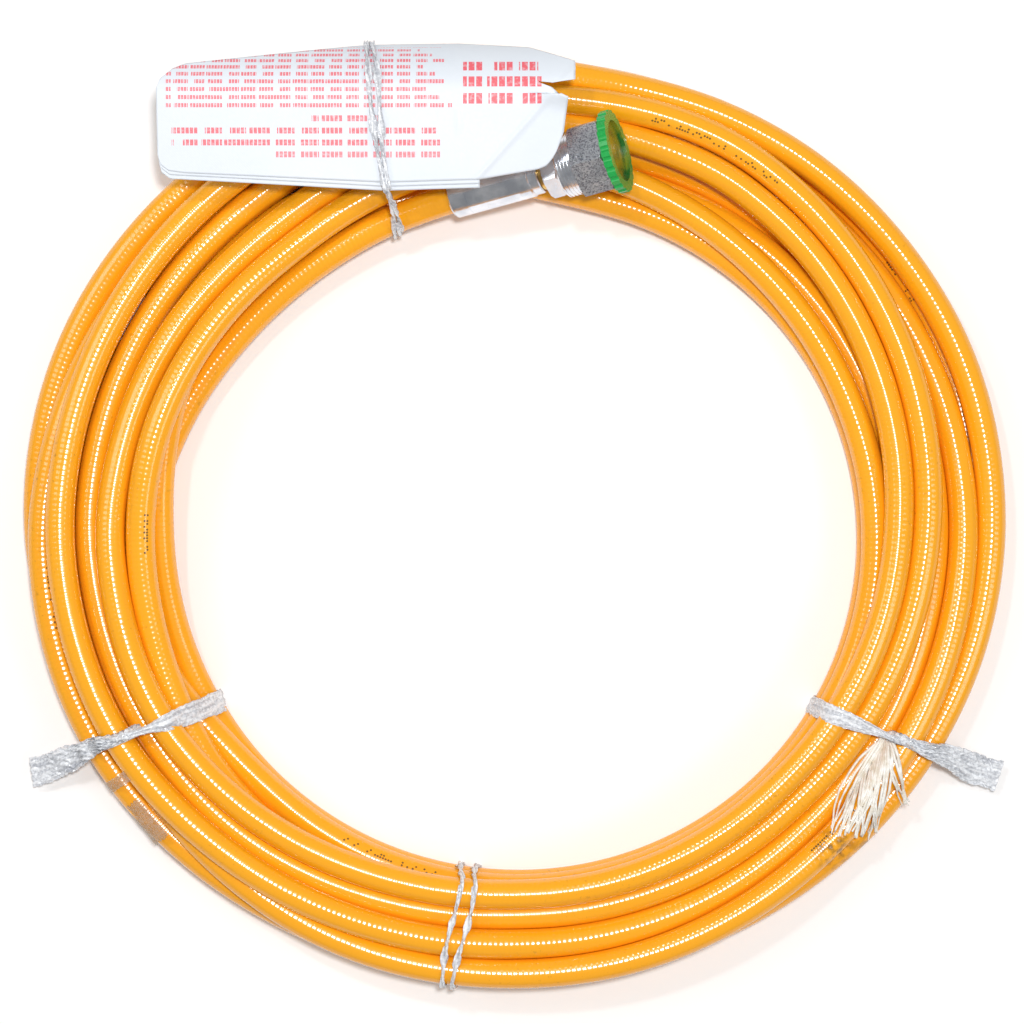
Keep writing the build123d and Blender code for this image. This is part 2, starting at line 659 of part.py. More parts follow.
# The ends of the ribbons are laid out after the bands that they belong to.
parts["left_tie_end"] = tie_end(LEFT_TIE_ANGLE, 6.0, 10.0, 12.0, 9.0)
parts["right_tie_end"] = tie_end(RIGHT_TIE_ANGLE, 6.0, 12.0, 18.0, 9.0)
knot_r = outer_reach(RIGHT_TIE_ANGLE) - KNOT_INWARD
parts["right_tie_tassel"] = tassel(RIGHT_TIE_ANGLE, knot_r, -92.0, 5.0, 19.0)
parts["hose_coil"] = coil

for name, shape in parts.items():
    solids = shape.solids()
    piece = Compound(children=solids) if len(solids) > 1 else solids[0]
    export_step(piece, f"parts/{name}.step")
print("pieces", len(parts))
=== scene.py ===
"""Looks of a coiled airless spray hose with its end fittings, hang tag, film ties and tape.

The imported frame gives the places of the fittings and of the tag, and a table of turns lays the
coil. All lengths are metres, +Z is up and the coil lies flat on the floor at height zero.
"""

import json
import logging
import math
from dataclasses import dataclass, field
from enum import Enum

import bpy
import numpy as np
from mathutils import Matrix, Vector

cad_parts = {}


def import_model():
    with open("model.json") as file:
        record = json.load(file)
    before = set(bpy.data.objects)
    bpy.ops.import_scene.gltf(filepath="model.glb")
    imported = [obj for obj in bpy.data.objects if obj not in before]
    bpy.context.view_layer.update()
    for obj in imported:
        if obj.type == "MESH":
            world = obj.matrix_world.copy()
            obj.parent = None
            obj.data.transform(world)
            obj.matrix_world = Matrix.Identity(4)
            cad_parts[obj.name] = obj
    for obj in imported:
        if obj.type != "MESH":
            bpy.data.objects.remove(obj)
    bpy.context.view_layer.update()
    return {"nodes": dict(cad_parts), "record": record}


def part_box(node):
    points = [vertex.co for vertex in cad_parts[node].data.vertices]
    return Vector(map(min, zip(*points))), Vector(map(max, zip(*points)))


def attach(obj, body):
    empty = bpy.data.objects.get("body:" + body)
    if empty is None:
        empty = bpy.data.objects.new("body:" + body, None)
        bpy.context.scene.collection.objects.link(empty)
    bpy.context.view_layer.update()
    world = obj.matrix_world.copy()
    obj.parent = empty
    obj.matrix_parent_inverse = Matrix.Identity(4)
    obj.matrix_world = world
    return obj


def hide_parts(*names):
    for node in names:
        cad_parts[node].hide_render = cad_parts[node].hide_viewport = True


LOG = logging.getLogger("hose")
MM = 0.001
Array = np.ndarray
Socket = bpy.types.NodeSocket
Value = float | Socket


# ---------------------------------------------------------------- meshes
def unit(vectors: Array) -> Array:
    """Vectors scaled to length one.

    Args:
        vectors: array whose last axis holds x, y and z.

    Returns:
        The same array with every vector divided by its own length.
    """
    length = np.linalg.norm(vectors, axis=-1, keepdims=True)
    return vectors / np.maximum(length, 1e-12)


def smooth_waves(s: Array, seed: int, count: int = 5, slowest: float = 1.0) -> Array:
    """Smooth wandering value along s: a sum of sines of rising pitch and falling height.

    Args:
        s: positions, any unit.
        seed: which wandering line.
        count: how many sines are added.
        slowest: pitch of the first sine, in turns per unit of s.

    Returns:
        Values of about -1 to 1, one for each position.
    """
    draw = np.random.default_rng(seed)
    total = np.zeros_like(s)
    for step in range(count):
        pitch = slowest * 1.7**step * draw.uniform(0.8, 1.2)
        total = total + np.sin(2 * math.pi * (pitch * s + draw.uniform())) / 1.5**step
    return total / 2.2


@dataclass
class Patch:
    """Grid surface waiting to become a mesh.

    Attributes:
        points: rows x columns x 3 positions.
        along: distance down the rows, one for each row.
        around: distance across the columns, one for each column and one for the closing column.
        closed: whether the last column joins the first one.
        capped: whether the first and last rows are filled, to close a tube's ends.
        ring: whether the last row joins the first one.
    """

    points: Array
    along: Array
    around: Array
    closed: bool = False
    capped: bool = False
    ring: bool = False


def build(name: str, patches: list[Patch]) -> bpy.types.Object:
    """One mesh object from grid surfaces, with a UV map in metres.

    A face joins each point to its neighbours in the next row and column.

    Args:
        name: the object's name.
        patches: the surfaces.

    Returns:
        The new object, at the origin and unturned.
    """
    vertices, faces, coords, base = [], [], [], 0
    for patch in patches:
        rows, columns, _ = patch.points.shape
        last_row = rows if patch.ring else rows - 1
        last_column = columns if patch.closed else columns - 1
        r, c = np.meshgrid(np.arange(last_row), np.arange(last_column), indexing="ij")
        r, c = r.ravel(), c.ravel()
        next_r, next_c = (r + 1) % rows, (c + 1) % columns
        quads = np.stack([r * columns + c, r * columns + next_c,
                          next_r * columns + next_c, next_r * columns + c], axis=1)
        faces.extend((quads + base).tolist())
        along = np.append(patch.along, 2 * patch.along[-1] - patch.along[-2])
        u = np.stack([along[r], along[r], along[r + 1], along[r + 1]], axis=1)
        v = np.stack([patch.around[c], patch.around[c + 1],
                      patch.around[c + 1], patch.around[c]], axis=1)
        coords.append(np.stack([u, v], axis=-1).reshape(-1, 2))
        if patch.capped:
            first = base + np.arange(columns)[::-1]
            last = base + (rows - 1) * columns + np.arange(columns)
            faces.extend([first.tolist(), last.tolist()])
            for row, order in ((0, slice(None, None, -1)), (rows - 1, slice(None))):
                edge = np.stack([np.full(columns, patch.along[row]), patch.around[:columns]], 1)
                coords.append(edge[order])
        vertices.append(patch.points.reshape(-1, 3))
        base += rows * columns
    mesh = bpy.data.meshes.new(name)
    mesh.from_pydata(np.concatenate(vertices).tolist(), [], faces)
    layer = mesh.uv_layers.new(name="metres")
    layer.data.foreach_set("uv", np.concatenate(coords).astype(np.float32).ravel())
    mesh.polygons.foreach_set("use_smooth", np.ones(len(faces), bool))
    mesh.update()
    made = bpy.data.objects.new(name, mesh)
    bpy.context.scene.collection.objects.link(made)
    return made


def distances(line: Array) -> Array:
    """Running distance along a line of points.

    Args:
        line: the points, one in each row.

    Returns:
        Distance from the first point, one for each point.
    """
    return np.append(0.0, np.cumsum(np.linalg.norm(np.diff(line, axis=0), axis=1)))


def sweep(line: Array, radius: Array | float, sides: int, capped: bool = True) -> Patch:
    """Round tube about a line: centre + radius (sideways cos a - upwards sin a).

    Sideways is level, so the line is never upright.

    Args:
        line: centres of the rings.
        radius: one radius, or one for each ring.
        sides: points in a ring.
        capped: whether the ends are filled.

    Returns:
        The tube's surface.
    """
    tangent = unit(np.gradient(line, axis=0))
    side = unit(np.cross(tangent, np.array([0.0, 0.0, 1.0])))
    up = np.cross(side, tangent)
    angle = np.linspace(0, 2 * math.pi, sides, endpoint=False)
    size = np.broadcast_to(np.asarray(radius, float), (len(line),))[:, None, None]
    ring = side[:, None] * np.cos(angle)[None, :, None] - up[:, None] * np.sin(angle)[None, :, None]
    around = np.linspace(0, 2 * math.pi, sides + 1) * float(np.max(size))
    return Patch(line[:, None] + size * ring, distances(line), around, True, capped)


@dataclass
class Ribbon:
    """Crumpled strip of film carried along a line.

    Its section is a flat closed loop, with folds that drift along the strip.

    Attributes:
        line: the strip's middle.
        outward: which way its face looks, at each point of the line.
        width: its width at each point.
        body: its crumpled thickness at each point.
        twist: turn of the strip about its line at each point, in radians.
        folds: how many folds lie across it.
        seed: which crumple.
        ring: whether it closes on itself.
    """

    line: Array
    outward: Array
    width: Array
    body: Array
    twist: Array
    folds: float = 3.0
    seed: int = 1
    ring: bool = False
    columns: int = 40

    def patch(self) -> Patch:
        """Surface: line + across (w/2) cos a + face (h/2) (folds wave - sin a)."""
        if self.ring:
            step = np.roll(self.line, -1, axis=0) - np.roll(self.line, 1, axis=0)
        else:
            step = np.gradient(self.line, axis=0)
        tangent = unit(step)
        across = unit(np.cross(tangent, self.outward))
        face = np.cross(across, tangent)
        turn = self.twist[:, None]
        across, face = (across * np.cos(turn) + face * np.sin(turn),
                        face * np.cos(turn) - across * np.sin(turn))
        angle = np.linspace(0, 2 * math.pi, self.columns, endpoint=False)[None]
        along = distances(self.line)
        drift = smooth_waves(along / 0.02, self.seed)[:, None]
        flutter = smooth_waves(along / 0.004, self.seed + 7)[:, None]
        place = np.cos(angle)
        wave = np.sin(self.folds * math.pi * (place + 0.5 * drift))
        wave = wave + 0.45 * np.sin(2.3 * self.folds * math.pi * place + 4 * drift + flutter)
        height = self.body[:, None] / 2 * (0.6 * wave - 0.55 * np.sin(angle))
        ragged = 1 + 0.05 * flutter * np.abs(place)
        reach = self.width[:, None] / 2 * place * ragged
        points = self.line[:, None] + across[:, None] * reach[..., None]
        points = points + face[:, None] * height[..., None]
        around = np.linspace(0, 2, self.columns + 1) * float(np.max(self.width))
        return Patch(points, along, around, True, not self.ring, self.ring)


# ---------------------------------------------------------------- shader nodes
class Board:
    """Places nodes in one node tree and joins their sockets."""

    def __init__(self, tree: bpy.types.NodeTree) -> None:
        """Works on this tree."""
        self.tree = tree

    def node(self, kind: str, settings: dict | None = None, inputs: dict | None = None):
        """Adds a node.

        Args:
            kind: the node's type name.
            settings: its properties.
            inputs: a value or an output socket for each of its inputs, by name or number.

        Returns:
            The node.
        """
        made = self.tree.nodes.new(kind)
        for key, value in (settings or {}).items():
            setattr(made, key, value)
        for key, value in (inputs or {}).items():
            if isinstance(value, Socket):
                self.tree.links.new(value, made.inputs[key])
            else:
                made.inputs[key].default_value = value
        return made

    def math(self, operation: str, a: Value, b: Value = 0.0) -> Socket:
        """Result of one operation.

        Args:
            operation: the Math node's operation.
            a: a number or a socket.
            b: another, where the operation takes two.

        Returns:
            The result's socket.
        """
        return self.node("ShaderNodeMath", {"operation": operation}, {0: a, 1: b}).outputs[0]

    def times(self, a: Value, b: Value) -> Socket:
        """Product of two values or sockets."""
        return self.math("MULTIPLY", a, b)

    def plus(self, a: Value, b: Value) -> Socket:
        """Sum of two values or sockets."""
        return self.math("ADD", a, b)

    def minus(self, a: Value, b: Value) -> Socket:
        """Difference of two values or sockets."""
        return self.math("SUBTRACT", a, b)

    def over(self, a: Value, b: Value) -> Socket:
        """Quotient of two values or sockets."""
        return self.math("DIVIDE", a, b)

    def remap(self, value: Value, low: float, high: float,
              new_low: float = 0.0, new_high: float = 1.0) -> Socket:
        """Value moved from one range to another and kept inside it.

        Args:
            value: the socket to move.
            low: start of the range that it comes from.
            high: end of that range.
            new_low: what low becomes.
            new_high: what high becomes.

        Returns:
            The moved value's socket.
        """
        inputs = {"Value": value, "From Min": low, "From Max": high,
                  "To Min": new_low, "To Max": new_high}
        return self.node("ShaderNodeMapRange", {"clamp": True}, inputs).outputs[0]

    def mix(self, factor: Value, a: tuple | Socket, b: tuple | Socket) -> Socket:
        """Colour between a and b."""
        made = self.node("ShaderNodeMix", {"data_type": "RGBA"}, {0: factor, 6: a, 7: b})
        return made.outputs[2]

    def split(self, vector: Socket) -> bpy.types.NodeOutputs:
        """The x, y and z of a vector."""
        return self.node("ShaderNodeSeparateXYZ", None, {0: vector}).outputs

    def join(self, x: Value, y: Value, z: Value = 0.0) -> Socket:
        """A vector of x, y and z."""
        return self.node("ShaderNodeCombineXYZ", None, {0: x, 1: y, 2: z}).outputs[0]

    def noise(self, vector: Socket, scale: float, detail: float = 2.0) -> Socket:
        """Soft noise from 0 to 1."""
        inputs = {"Vector": vector, "Scale": scale, "Detail": detail}
        return self.node("ShaderNodeTexNoise", None, inputs).outputs[0]

    def place(self) -> Socket:
        """Position in the object's own coordinates."""
        return self.node("ShaderNodeTexCoord").outputs["Object"]

    def metres(self) -> Socket:
        """The piece's own UV map, in metres along and around it."""
        return self.node("ShaderNodeUVMap", {"uv_map": "metres"}).outputs[0]

    def bump(self, height: Value, distance: float, strength: float = 1.0) -> Socket:
        """Normal of a surface raised by height times distance."""
        inputs = {"Height": height, "Distance": distance, "Strength": strength}
        return self.node("ShaderNodeBump", None, inputs).outputs[0]

    def group(self, tree: bpy.types.NodeTree, inputs: dict):
        """Places a node group.

        Args:
            tree: the group.
            inputs: a value or an output socket for each of its inputs, by name.

        Returns:
            The placed group's outputs, by name.
        """
        made = self.tree.nodes.new("ShaderNodeGroup")
        made.node_tree = tree
        for key, value in inputs.items():
            if isinstance(value, Socket):
                self.tree.links.new(value, made.inputs[key])
            else:
                made.inputs[key].default_value = value
        return made.outputs


def new_group(name: str, inputs: dict[str, tuple], outputs: tuple[str, ...]):
    """An empty node group with named sockets.

    Args:
        name: the group's name.
        inputs: for each input its socket type and, for a number, its usual value.
        outputs: names of its number outputs.

    Returns:
        The tree, its board, its input node's outputs and its output node's inputs.
    """
    tree = bpy.data.node_groups.new(name, "ShaderNodeTree")
    for key, (kind, usual) in inputs.items():
        socket = tree.interface.new_socket(name=key, in_out="INPUT", socket_type=kind)
        if usual is not None:
            socket.default_value = usual
    for key in outputs:
        tree.interface.new_socket(name=key, in_out="OUTPUT", socket_type="NodeSocketFloat")
    board = Board(tree)
    source = board.node("NodeGroupInput").outputs
    result = board.node("NodeGroupOutput").inputs
    return tree, board, source, result


class Effects:
    """Node groups that several finishes share, each built once."""

    def __init__(self) -> None:
        """Builds the groups."""
        self.braid = self._braid()
        self.streaks = self._streaks()
        self.dust = self._dust()
        self.sparkle = self._sparkle()
        self.axis = self._axis()

    def _braid(self) -> bpy.types.NodeTree:
        """Bumps where two crossing sets of ridges meet: the product of two slanted waves."""
        inputs = {"Along": ("NodeSocketFloat", 0.0), "Around": ("NodeSocketFloat", 0.0),
                  "Pitch": ("NodeSocketFloat", 0.002), "Lead": ("NodeSocketFloat", 0.002)}
        tree, board, source, result = new_group("braid_ridges", inputs, ("Height",))
        down = board.over(source["Along"], source["Pitch"])
        across = board.over(source["Around"], source["Lead"])
        one = board.math("SINE", board.times(board.plus(down, across), math.pi))
        two = board.math("SINE", board.times(board.minus(down, across), math.pi))
        both = board.times(one, two)
        tree.links.new(board.remap(both, -1.0, 1.0), result["Height"])
        return tree

    def _streaks(self) -> bpy.types.NodeTree:
        """Fine lines down a piece: noise squeezed across it and stretched along it."""
        inputs = {"Vector": ("NodeSocketVector", None), "Fineness": ("NodeSocketFloat", 1500.0),
                  "Stretch": ("NodeSocketFloat", 0.08)}
        tree, board, source, result = new_group("streaks", inputs, ("Value",))
        x, y, z = board.split(source["Vector"])
        drawn = board.join(board.times(x, source["Stretch"]), y, z)
        scale = {"Vector": drawn, "Scale": source["Fineness"], "Detail": 3.0}
        value = board.node("ShaderNodeTexNoise", None, scale).outputs[0]
        tree.links.new(value, result["Value"])
        return tree

    def _dust(self) -> bpy.types.NodeTree:
        """Scattered specks and smudges: fine noise let through where slow noise is high."""
        inputs = {"Vector": ("NodeSocketVector", None), "Fine": ("NodeSocketFloat", 900.0),
                  "Coarse": ("NodeSocketFloat", 25.0), "Amount": ("NodeSocketFloat", 0.5)}
        tree, board, source, result = new_group("dust", inputs, ("Mask",))
        fine = board.node("ShaderNodeTexNoise", None, {
            "Vector": source["Vector"], "Scale": source["Fine"], "Detail": 2.0}).outputs[0]
        slow = board.node("ShaderNodeTexNoise", None, {
            "Vector": source["Vector"], "Scale": source["Coarse"], "Detail": 3.0}).outputs[0]
        specks = board.remap(fine, 0.62, 0.72)
        smudge = board.remap(slow, 0.5, 0.7)
        mask = board.times(board.times(specks, smudge), source["Amount"])
        tree.links.new(mask, result["Mask"])
        return tree

    def _sparkle(self) -> bpy.types.NodeTree:
        """Small crystals: cells that each have one random value."""
        inputs = {"Vector": ("NodeSocketVector", None), "Scale": ("NodeSocketFloat", 1400.0)}
        tree, board, source, result = new_group("crystals", inputs, ("Value",))
        cell = board.node("ShaderNodeTexVoronoi", {"feature": "F1"}, {
            "Vector": source["Vector"], "Scale": source["Scale"]})
        tone = board.split(cell.outputs["Color"])[0]
        tree.links.new(tone, result["Value"])
        return tree

    def _axis(self) -> bpy.types.NodeTree:
        """Distance along a fitting's axis from its mouth, and distance out from the axis."""
        inputs = {"Vector": ("NodeSocketVector", None), "Mouth": ("NodeSocketVector", None),
                  "Direction": ("NodeSocketVector", None)}
        tree, board, source, result = new_group("fitting_axis", inputs, ("Along", "Out"))
        kind = "ShaderNodeVectorMath"
        away = board.node(kind, {"operation": "SUBTRACT"}, {0: source["Vector"], 1: source["Mouth"]})
        along = board.node(kind, {"operation": "DOT_PRODUCT"},
                           {0: away.outputs[0], 1: source["Direction"]}).outputs["Value"]
        length = board.node(kind, {"operation": "LENGTH"}, {0: away.outputs[0]}).outputs["Value"]
        square = board.minus(board.times(length, length),
                             board.times(along, along))
        tree.links.new(along, result["Along"])
        tree.links.new(board.math("SQRT", board.math("MAXIMUM", square, 0.0)), result["Out"])
        return tree


def new_material(name: str) -> tuple[bpy.types.Material, Board, bpy.types.Node]:
    """A new material with a principled shader.

    Args:
        name: the material's name.

    Returns:
        The material, the board of its node tree, and its shader.
    """
    made = bpy.data.materials.new(name)
    made.use_nodes = True
    shader = made.node_tree.nodes["Principled BSDF"]
    return made, Board(made.node_tree), shader


def set_inputs(board: Board, shader: bpy.types.Node, values: dict) -> None:
    """Sets or links a shader's inputs.

    Args:
        board: the board of the shader's node tree.
        shader: the shader.
        values: a value or an output socket for each input, by name.
    """
    for key, value in values.items():
        if isinstance(value, Socket):
            board.tree.links.new(value, shader.inputs[key])
        else:
            shader.inputs[key].default_value = value


# ---------------------------------------------------------------- finishes
@dataclass(frozen=True)
class HoseCover:
    """Extruded yellow-orange cover, with the braid under it showing through as small bumps."""

    bright: tuple = (1.0, 0.53, 0.022, 1.0)
    deep: tuple = (0.95, 0.40, 0.010, 1.0)
    grime: tuple = (0.16, 0.08, 0.015, 1.0)
    ink: tuple = (0.035, 0.03, 0.02, 1.0)
    pitch: float = 0.0020
    strands: int = 24
    relief: float = 0.00008
    girth: float = math.pi * 0.011
    dot: float = 0.0011
    marked_at: float = 0.67
    soiled: tuple = ((0.121, -0.124, 0.010), (0.136, -0.127, 0.009), (-0.150, -0.1225, 0.013))

    def material(self, effects: Effects) -> bpy.types.Material:
        """Colour wanders along the hose, painted shade darkens it in the braid's valleys, and ink dots
        and grime lie on it in places.
        """
        made, board, shader = new_material("hose_cover")
        along, around, _ = board.split(board.metres())
        braid = board.group(effects.braid, {
            "Along": along, "Around": around, "Pitch": self.pitch,
            "Lead": 2 * self.girth / self.strands})["Height"]
        slow = board.noise(board.join(board.times(along, 3.0), 0.0), 1.0, 3.0)
        cloud = board.noise(board.place(), 60.0, 3.0)
        tone = board.plus(board.times(slow, 0.7), board.times(cloud, 0.3))
        colour = board.mix(board.remap(tone, 0.38, 0.62), self.bright, self.deep)
        # Painted shade: the colour stays mostly the deep tone, fully so in the braid's valleys, with a
        # little of the wandering tone only on its bumps.
        colour = board.mix(board.times(braid, 0.10), self.deep, colour)
        dust = board.group(effects.dust, {
            "Vector": board.place(), "Fine": 700.0, "Coarse": 14.0, "Amount": 0.4})["Mask"]
        colour = board.mix(dust, colour, self.grime)
        colour = board.mix(self._soil(board), colour, self.grime)
        colour = board.mix(self._marks(board, along, around), colour, self.ink)
        grain = board.noise(board.place(), 2500.0, 2.0)
        height = board.plus(braid, board.times(grain, 0.15))
        rough = board.remap(board.noise(board.place(), 240.0, 3.0), 0.3, 0.7, 0.14, 0.20)
        set_inputs(board, shader, {
            "Base Color": colour, "Roughness": rough, "Specular IOR Level": 0.7,
            "Normal": board.bump(height, self.relief)})
        return made

    def _soil(self, board: Board) -> Socket:
        """Brown patches at a few places: near the place, and where the noise is high."""
        mask = None
        rough = board.remap(board.noise(board.place(), 320.0, 3.0), 0.42, 0.62)
        x, y, _ = board.split(board.place())
        for centre_x, centre_y, radius in self.soiled:
            off_x = board.minus(x, centre_x)
            off_y = board.minus(y, centre_y)
            far = board.plus(board.times(off_x, off_x),
                             board.times(off_y, off_y))
            near = board.remap(far, 0.0, radius * radius, 0.85, 0.0)
            patch = board.times(near, rough)
            mask = patch if mask is None else board.math("MAXIMUM", mask, patch)
        return mask

    def _marks(self, board: Board, along: Socket, around: Socket) -> Socket:
        """Inkjet marks: a grid of dots, shown at random, in short runs far apart."""
        dot = self.dot
        column = board.math("FLOOR", board.over(along, dot))
        row = board.math("FLOOR", board.over(around, dot))
        chance = board.node("ShaderNodeTexWhiteNoise", {"noise_dimensions": "2D"}, {
            "Vector": board.join(column, row)}).outputs[0]
        shown = board.math("GREATER_THAN", chance, 0.62)
        part_x = board.minus(board.math("FRACT", board.over(along, dot)), 0.5)
        part_y = board.minus(board.math("FRACT", board.over(around, dot)), 0.5)
        away = board.plus(board.times(part_x, part_x),
                          board.times(part_y, part_y))
        disc = board.math("LESS_THAN", away, 0.14)
        band = board.math("LESS_THAN", board.math("ABSOLUTE", board.minus(
            around, self.marked_at * self.girth)), dot)
        where = board.noise(board.join(board.times(along, 9.0), 4.0), 1.0, 1.0)
        run = board.math("GREATER_THAN", where, 0.64)
        mask = board.times(board.times(shown, disc),
                           board.times(band, run))
        return board.times(mask, 0.85)


@dataclass(frozen=True)
class ZincPlate:
    """Bright zinc plate over turned and drawn steel.

    Past frosted_from, along the fitting's axis, the flats keep the drawn bar's frosted skin, with its
    crystals painted dark and light as a painted sparkle of reflections.
    """

    name: str
    mouth: tuple
    along: tuple
    frosted_from: float
    tone: tuple = (0.88, 0.90, 0.94, 1.0)
    shade: tuple = (0.66, 0.69, 0.75, 1.0)
    crystals: float = 2500.0
    # Dark of the frosted crystals that are painted as if mirroring shade: painted reflection.
    painted_crystal_dark: tuple = (0.17, 0.18, 0.24, 1.0)
    dirt: tuple = (0.06, 0.05, 0.04, 1.0)
    relief: float = 0.00003
    frost_relief: float = 0.00022

    def material(self, effects: Effects) -> bpy.types.Material:
        """Turned surfaces are smooth with fine rings; on frosted ones, crystals are painted dark and
        light, as painted reflections.
        """
        made, board, shader = new_material(self.name)
        place = board.place()
        axis = board.group(effects.axis, {
            "Vector": place, "Mouth": self.mouth, "Direction": self.along})
        frosted = board.math("GREATER_THAN", axis["Along"], self.frosted_from)
        crystal = board.group(effects.sparkle, {"Vector": place, "Scale": self.crystals})["Value"]
        rings = board.noise(board.join(axis["Along"], 0.0), 5000.0, 2.0)
        smudge = board.noise(place, 150.0, 4.0)
        speck = board.times(frosted, crystal)
        colour = board.mix(board.remap(smudge, 0.35, 0.65), self.shade, self.tone)
        # Painted reflections: on the frosted flats, random crystals are painted dark and the others
        # keep the light tone.
        dark = board.times(frosted, board.remap(crystal, 0.1, 0.6, 0.80, 0.0))
        colour = board.mix(dark, colour, self.painted_crystal_dark)
        dust = board.group(effects.dust, {
            "Vector": place, "Fine": 1500.0, "Coarse": 120.0, "Amount": 0.35})["Mask"]
        colour = board.mix(dust, colour, self.dirt)
        rough = board.plus(board.remap(smudge, 0.3, 0.7, 0.16, 0.28),
                           board.times(frosted, 0.10))
        height = board.plus(board.times(rings, self.relief),
                            board.times(speck, self.frost_relief))
        set_inputs(board, shader, {
            "Base Color": colour, "Metallic": 1.0, "Roughness": rough,
            "Normal": board.bump(height, 1.0)})
        return made


@dataclass(frozen=True)
class CapPlastic:
    """Green cap: bright rim, and an olive face with dark patches inside its recess."""

    mouth: tuple
    along: tuple
    recess: float = 0.0115
    rim: tuple = (0.015, 0.36, 0.07, 1.0)
    face: tuple = (0.22, 0.24, 0.012, 1.0)
    patch: tuple = (0.02, 0.13, 0.02, 1.0)
    dirt: tuple = (0.1, 0.1, 0.05, 1.0)

    def material(self, effects: Effects) -> bpy.types.Material:
        """The face's two tones lie within the recess's radius of the axis."""
        made, board, shader = new_material("cap_green")
        place = board.place()
        out = board.group(effects.axis, {
            "Vector": place, "Mouth": self.mouth, "Direction": self.along})["Out"]
        inside = board.math("LESS_THAN", out, self.recess)
        cloud = board.remap(board.noise(place, 160.0, 3.0), 0.42, 0.6)
        colour = board.mix(inside, self.rim, board.mix(cloud, self.face, self.patch))
        dust = board.group(effects.dust, {
            "Vector": place, "Fine": 1300.0, "Coarse": 90.0, "Amount": 0.3})["Mask"]
        grain = board.noise(place, 2200.0, 3.0)
        set_inputs(board, shader, {
            "Base Color": board.mix(dust, colour, self.dirt),
            "Roughness": board.remap(grain, 0.3, 0.7, 0.2, 0.34),
            "Normal": board.bump(grain, 0.00006)})
        return made


@dataclass(frozen=True)
class TurnedBrass:
    """Turned brass ring, a little tarnished."""

    tone: tuple = (0.72, 0.46, 0.14, 1.0)
    tarnish: tuple = (0.32, 0.18, 0.07, 1.0)

    def material(self, effects: Effects) -> bpy.types.Material:
        """Tarnish in patches over fine lines."""
        made, board, shader = new_material("turned_brass")
        place = board.place()
        patches = board.remap(board.noise(place, 220.0, 4.0), 0.35, 0.65)
        lines = board.group(effects.streaks, {"Vector": place, "Fineness": 2400.0, "Stretch": 0.3})
        set_inputs(board, shader, {
            "Base Color": board.mix(patches, self.tone, self.tarnish), "Metallic": 1.0,
            "Roughness": board.remap(patches, 0.0, 1.0, 0.25, 0.45),
            "Normal": board.bump(lines["Value"], 0.00003)})
        return made


@dataclass(frozen=True)
class MouldedPlastic:
    """Moulded or extruded plastic with a fine grain."""

    name: str
    bright: tuple
    dark: tuple
    patch_scale: float = 70.0
    roughness: float = 0.4
    dirt: tuple = (0.1, 0.09, 0.07, 1.0)

    def material(self, effects: Effects) -> bpy.types.Material:
        """Two tones in soft clouds, and a fine grain in its relief."""
        made, board, shader = new_material(self.name)
        place = board.place()
        cloud = board.remap(board.noise(place, self.patch_scale, 4.0), 0.35, 0.65)
        dust = board.group(effects.dust, {
            "Vector": place, "Fine": 1300.0, "Coarse": 90.0, "Amount": 0.35})["Mask"]
        colour = board.mix(dust, board.mix(cloud, self.bright, self.dark), self.dirt)
        grain = board.noise(place, 3000.0, 3.0)
        set_inputs(board, shader, {
            "Base Color": colour,
            "Roughness": board.remap(grain, 0.3, 0.7, self.roughness - 0.06, self.roughness + 0.06),
            "Normal": board.bump(grain, 0.00003)})
        return made


@dataclass(frozen=True)
class FibreBraid:
    """Woven fibre round the hose's core, with painted shade in the gaps of its weave."""

    tone: tuple = (0.72, 0.68, 0.58, 1.0)
    # Painted shade: colour of the gaps between the yarns.
    gap: tuple = (0.30, 0.27, 0.21, 1.0)

    def material(self, effects: Effects) -> bpy.types.Material:
        """Diagonal weave in object coordinates; the gap colour is painted shade between the yarns."""
        made, board, shader = new_material("fibre_braid")
        x, y, z = board.split(board.place())
        weave = board.group(effects.braid, {
            "Along": x, "Around": board.plus(y, z), "Pitch": 0.002, "Lead": 0.002})["Height"]
        set_inputs(board, shader, {
            # Painted shade: low places of the weave take the dark gap colour.
            "Base Color": board.mix(weave, self.gap, self.tone), "Roughness": 0.8,
            "Normal": board.bump(weave, 0.0002)})
        return made


@dataclass(frozen=True)
class PrintedRows:
    """Rows of plain printed bars: where a block of them lies on the tag, in metres."""

    left: float
    right: float
    low: float
    high: float
    pitch: float
    bar: float
    word: float
    strength: float


# Blocks of print: left, right, low and high edges, pitch, bar's share, word length, strength.
PRINT = (
    PrintedRows(-0.0180, 0.0120, 0.1505, 0.1680, 0.0062, 0.62, 0.0105, 0.95),
    PrintedRows(-0.1260, -0.0220, 0.1492, 0.1755, 0.0029, 0.52, 0.0062, 0.85),
    PrintedRows(-0.1240, -0.0230, 0.1355, 0.1430, 0.0043, 0.50, 0.0088, 0.9),
    PrintedRows(-0.0870, -0.0240, 0.1312, 0.1342, 0.0043, 0.50, 0.0088, 0.8),
    PrintedRows(-0.0730, -0.0490, 0.1442, 0.1470, 0.0043, 0.50, 0.0088, 0.85),
)


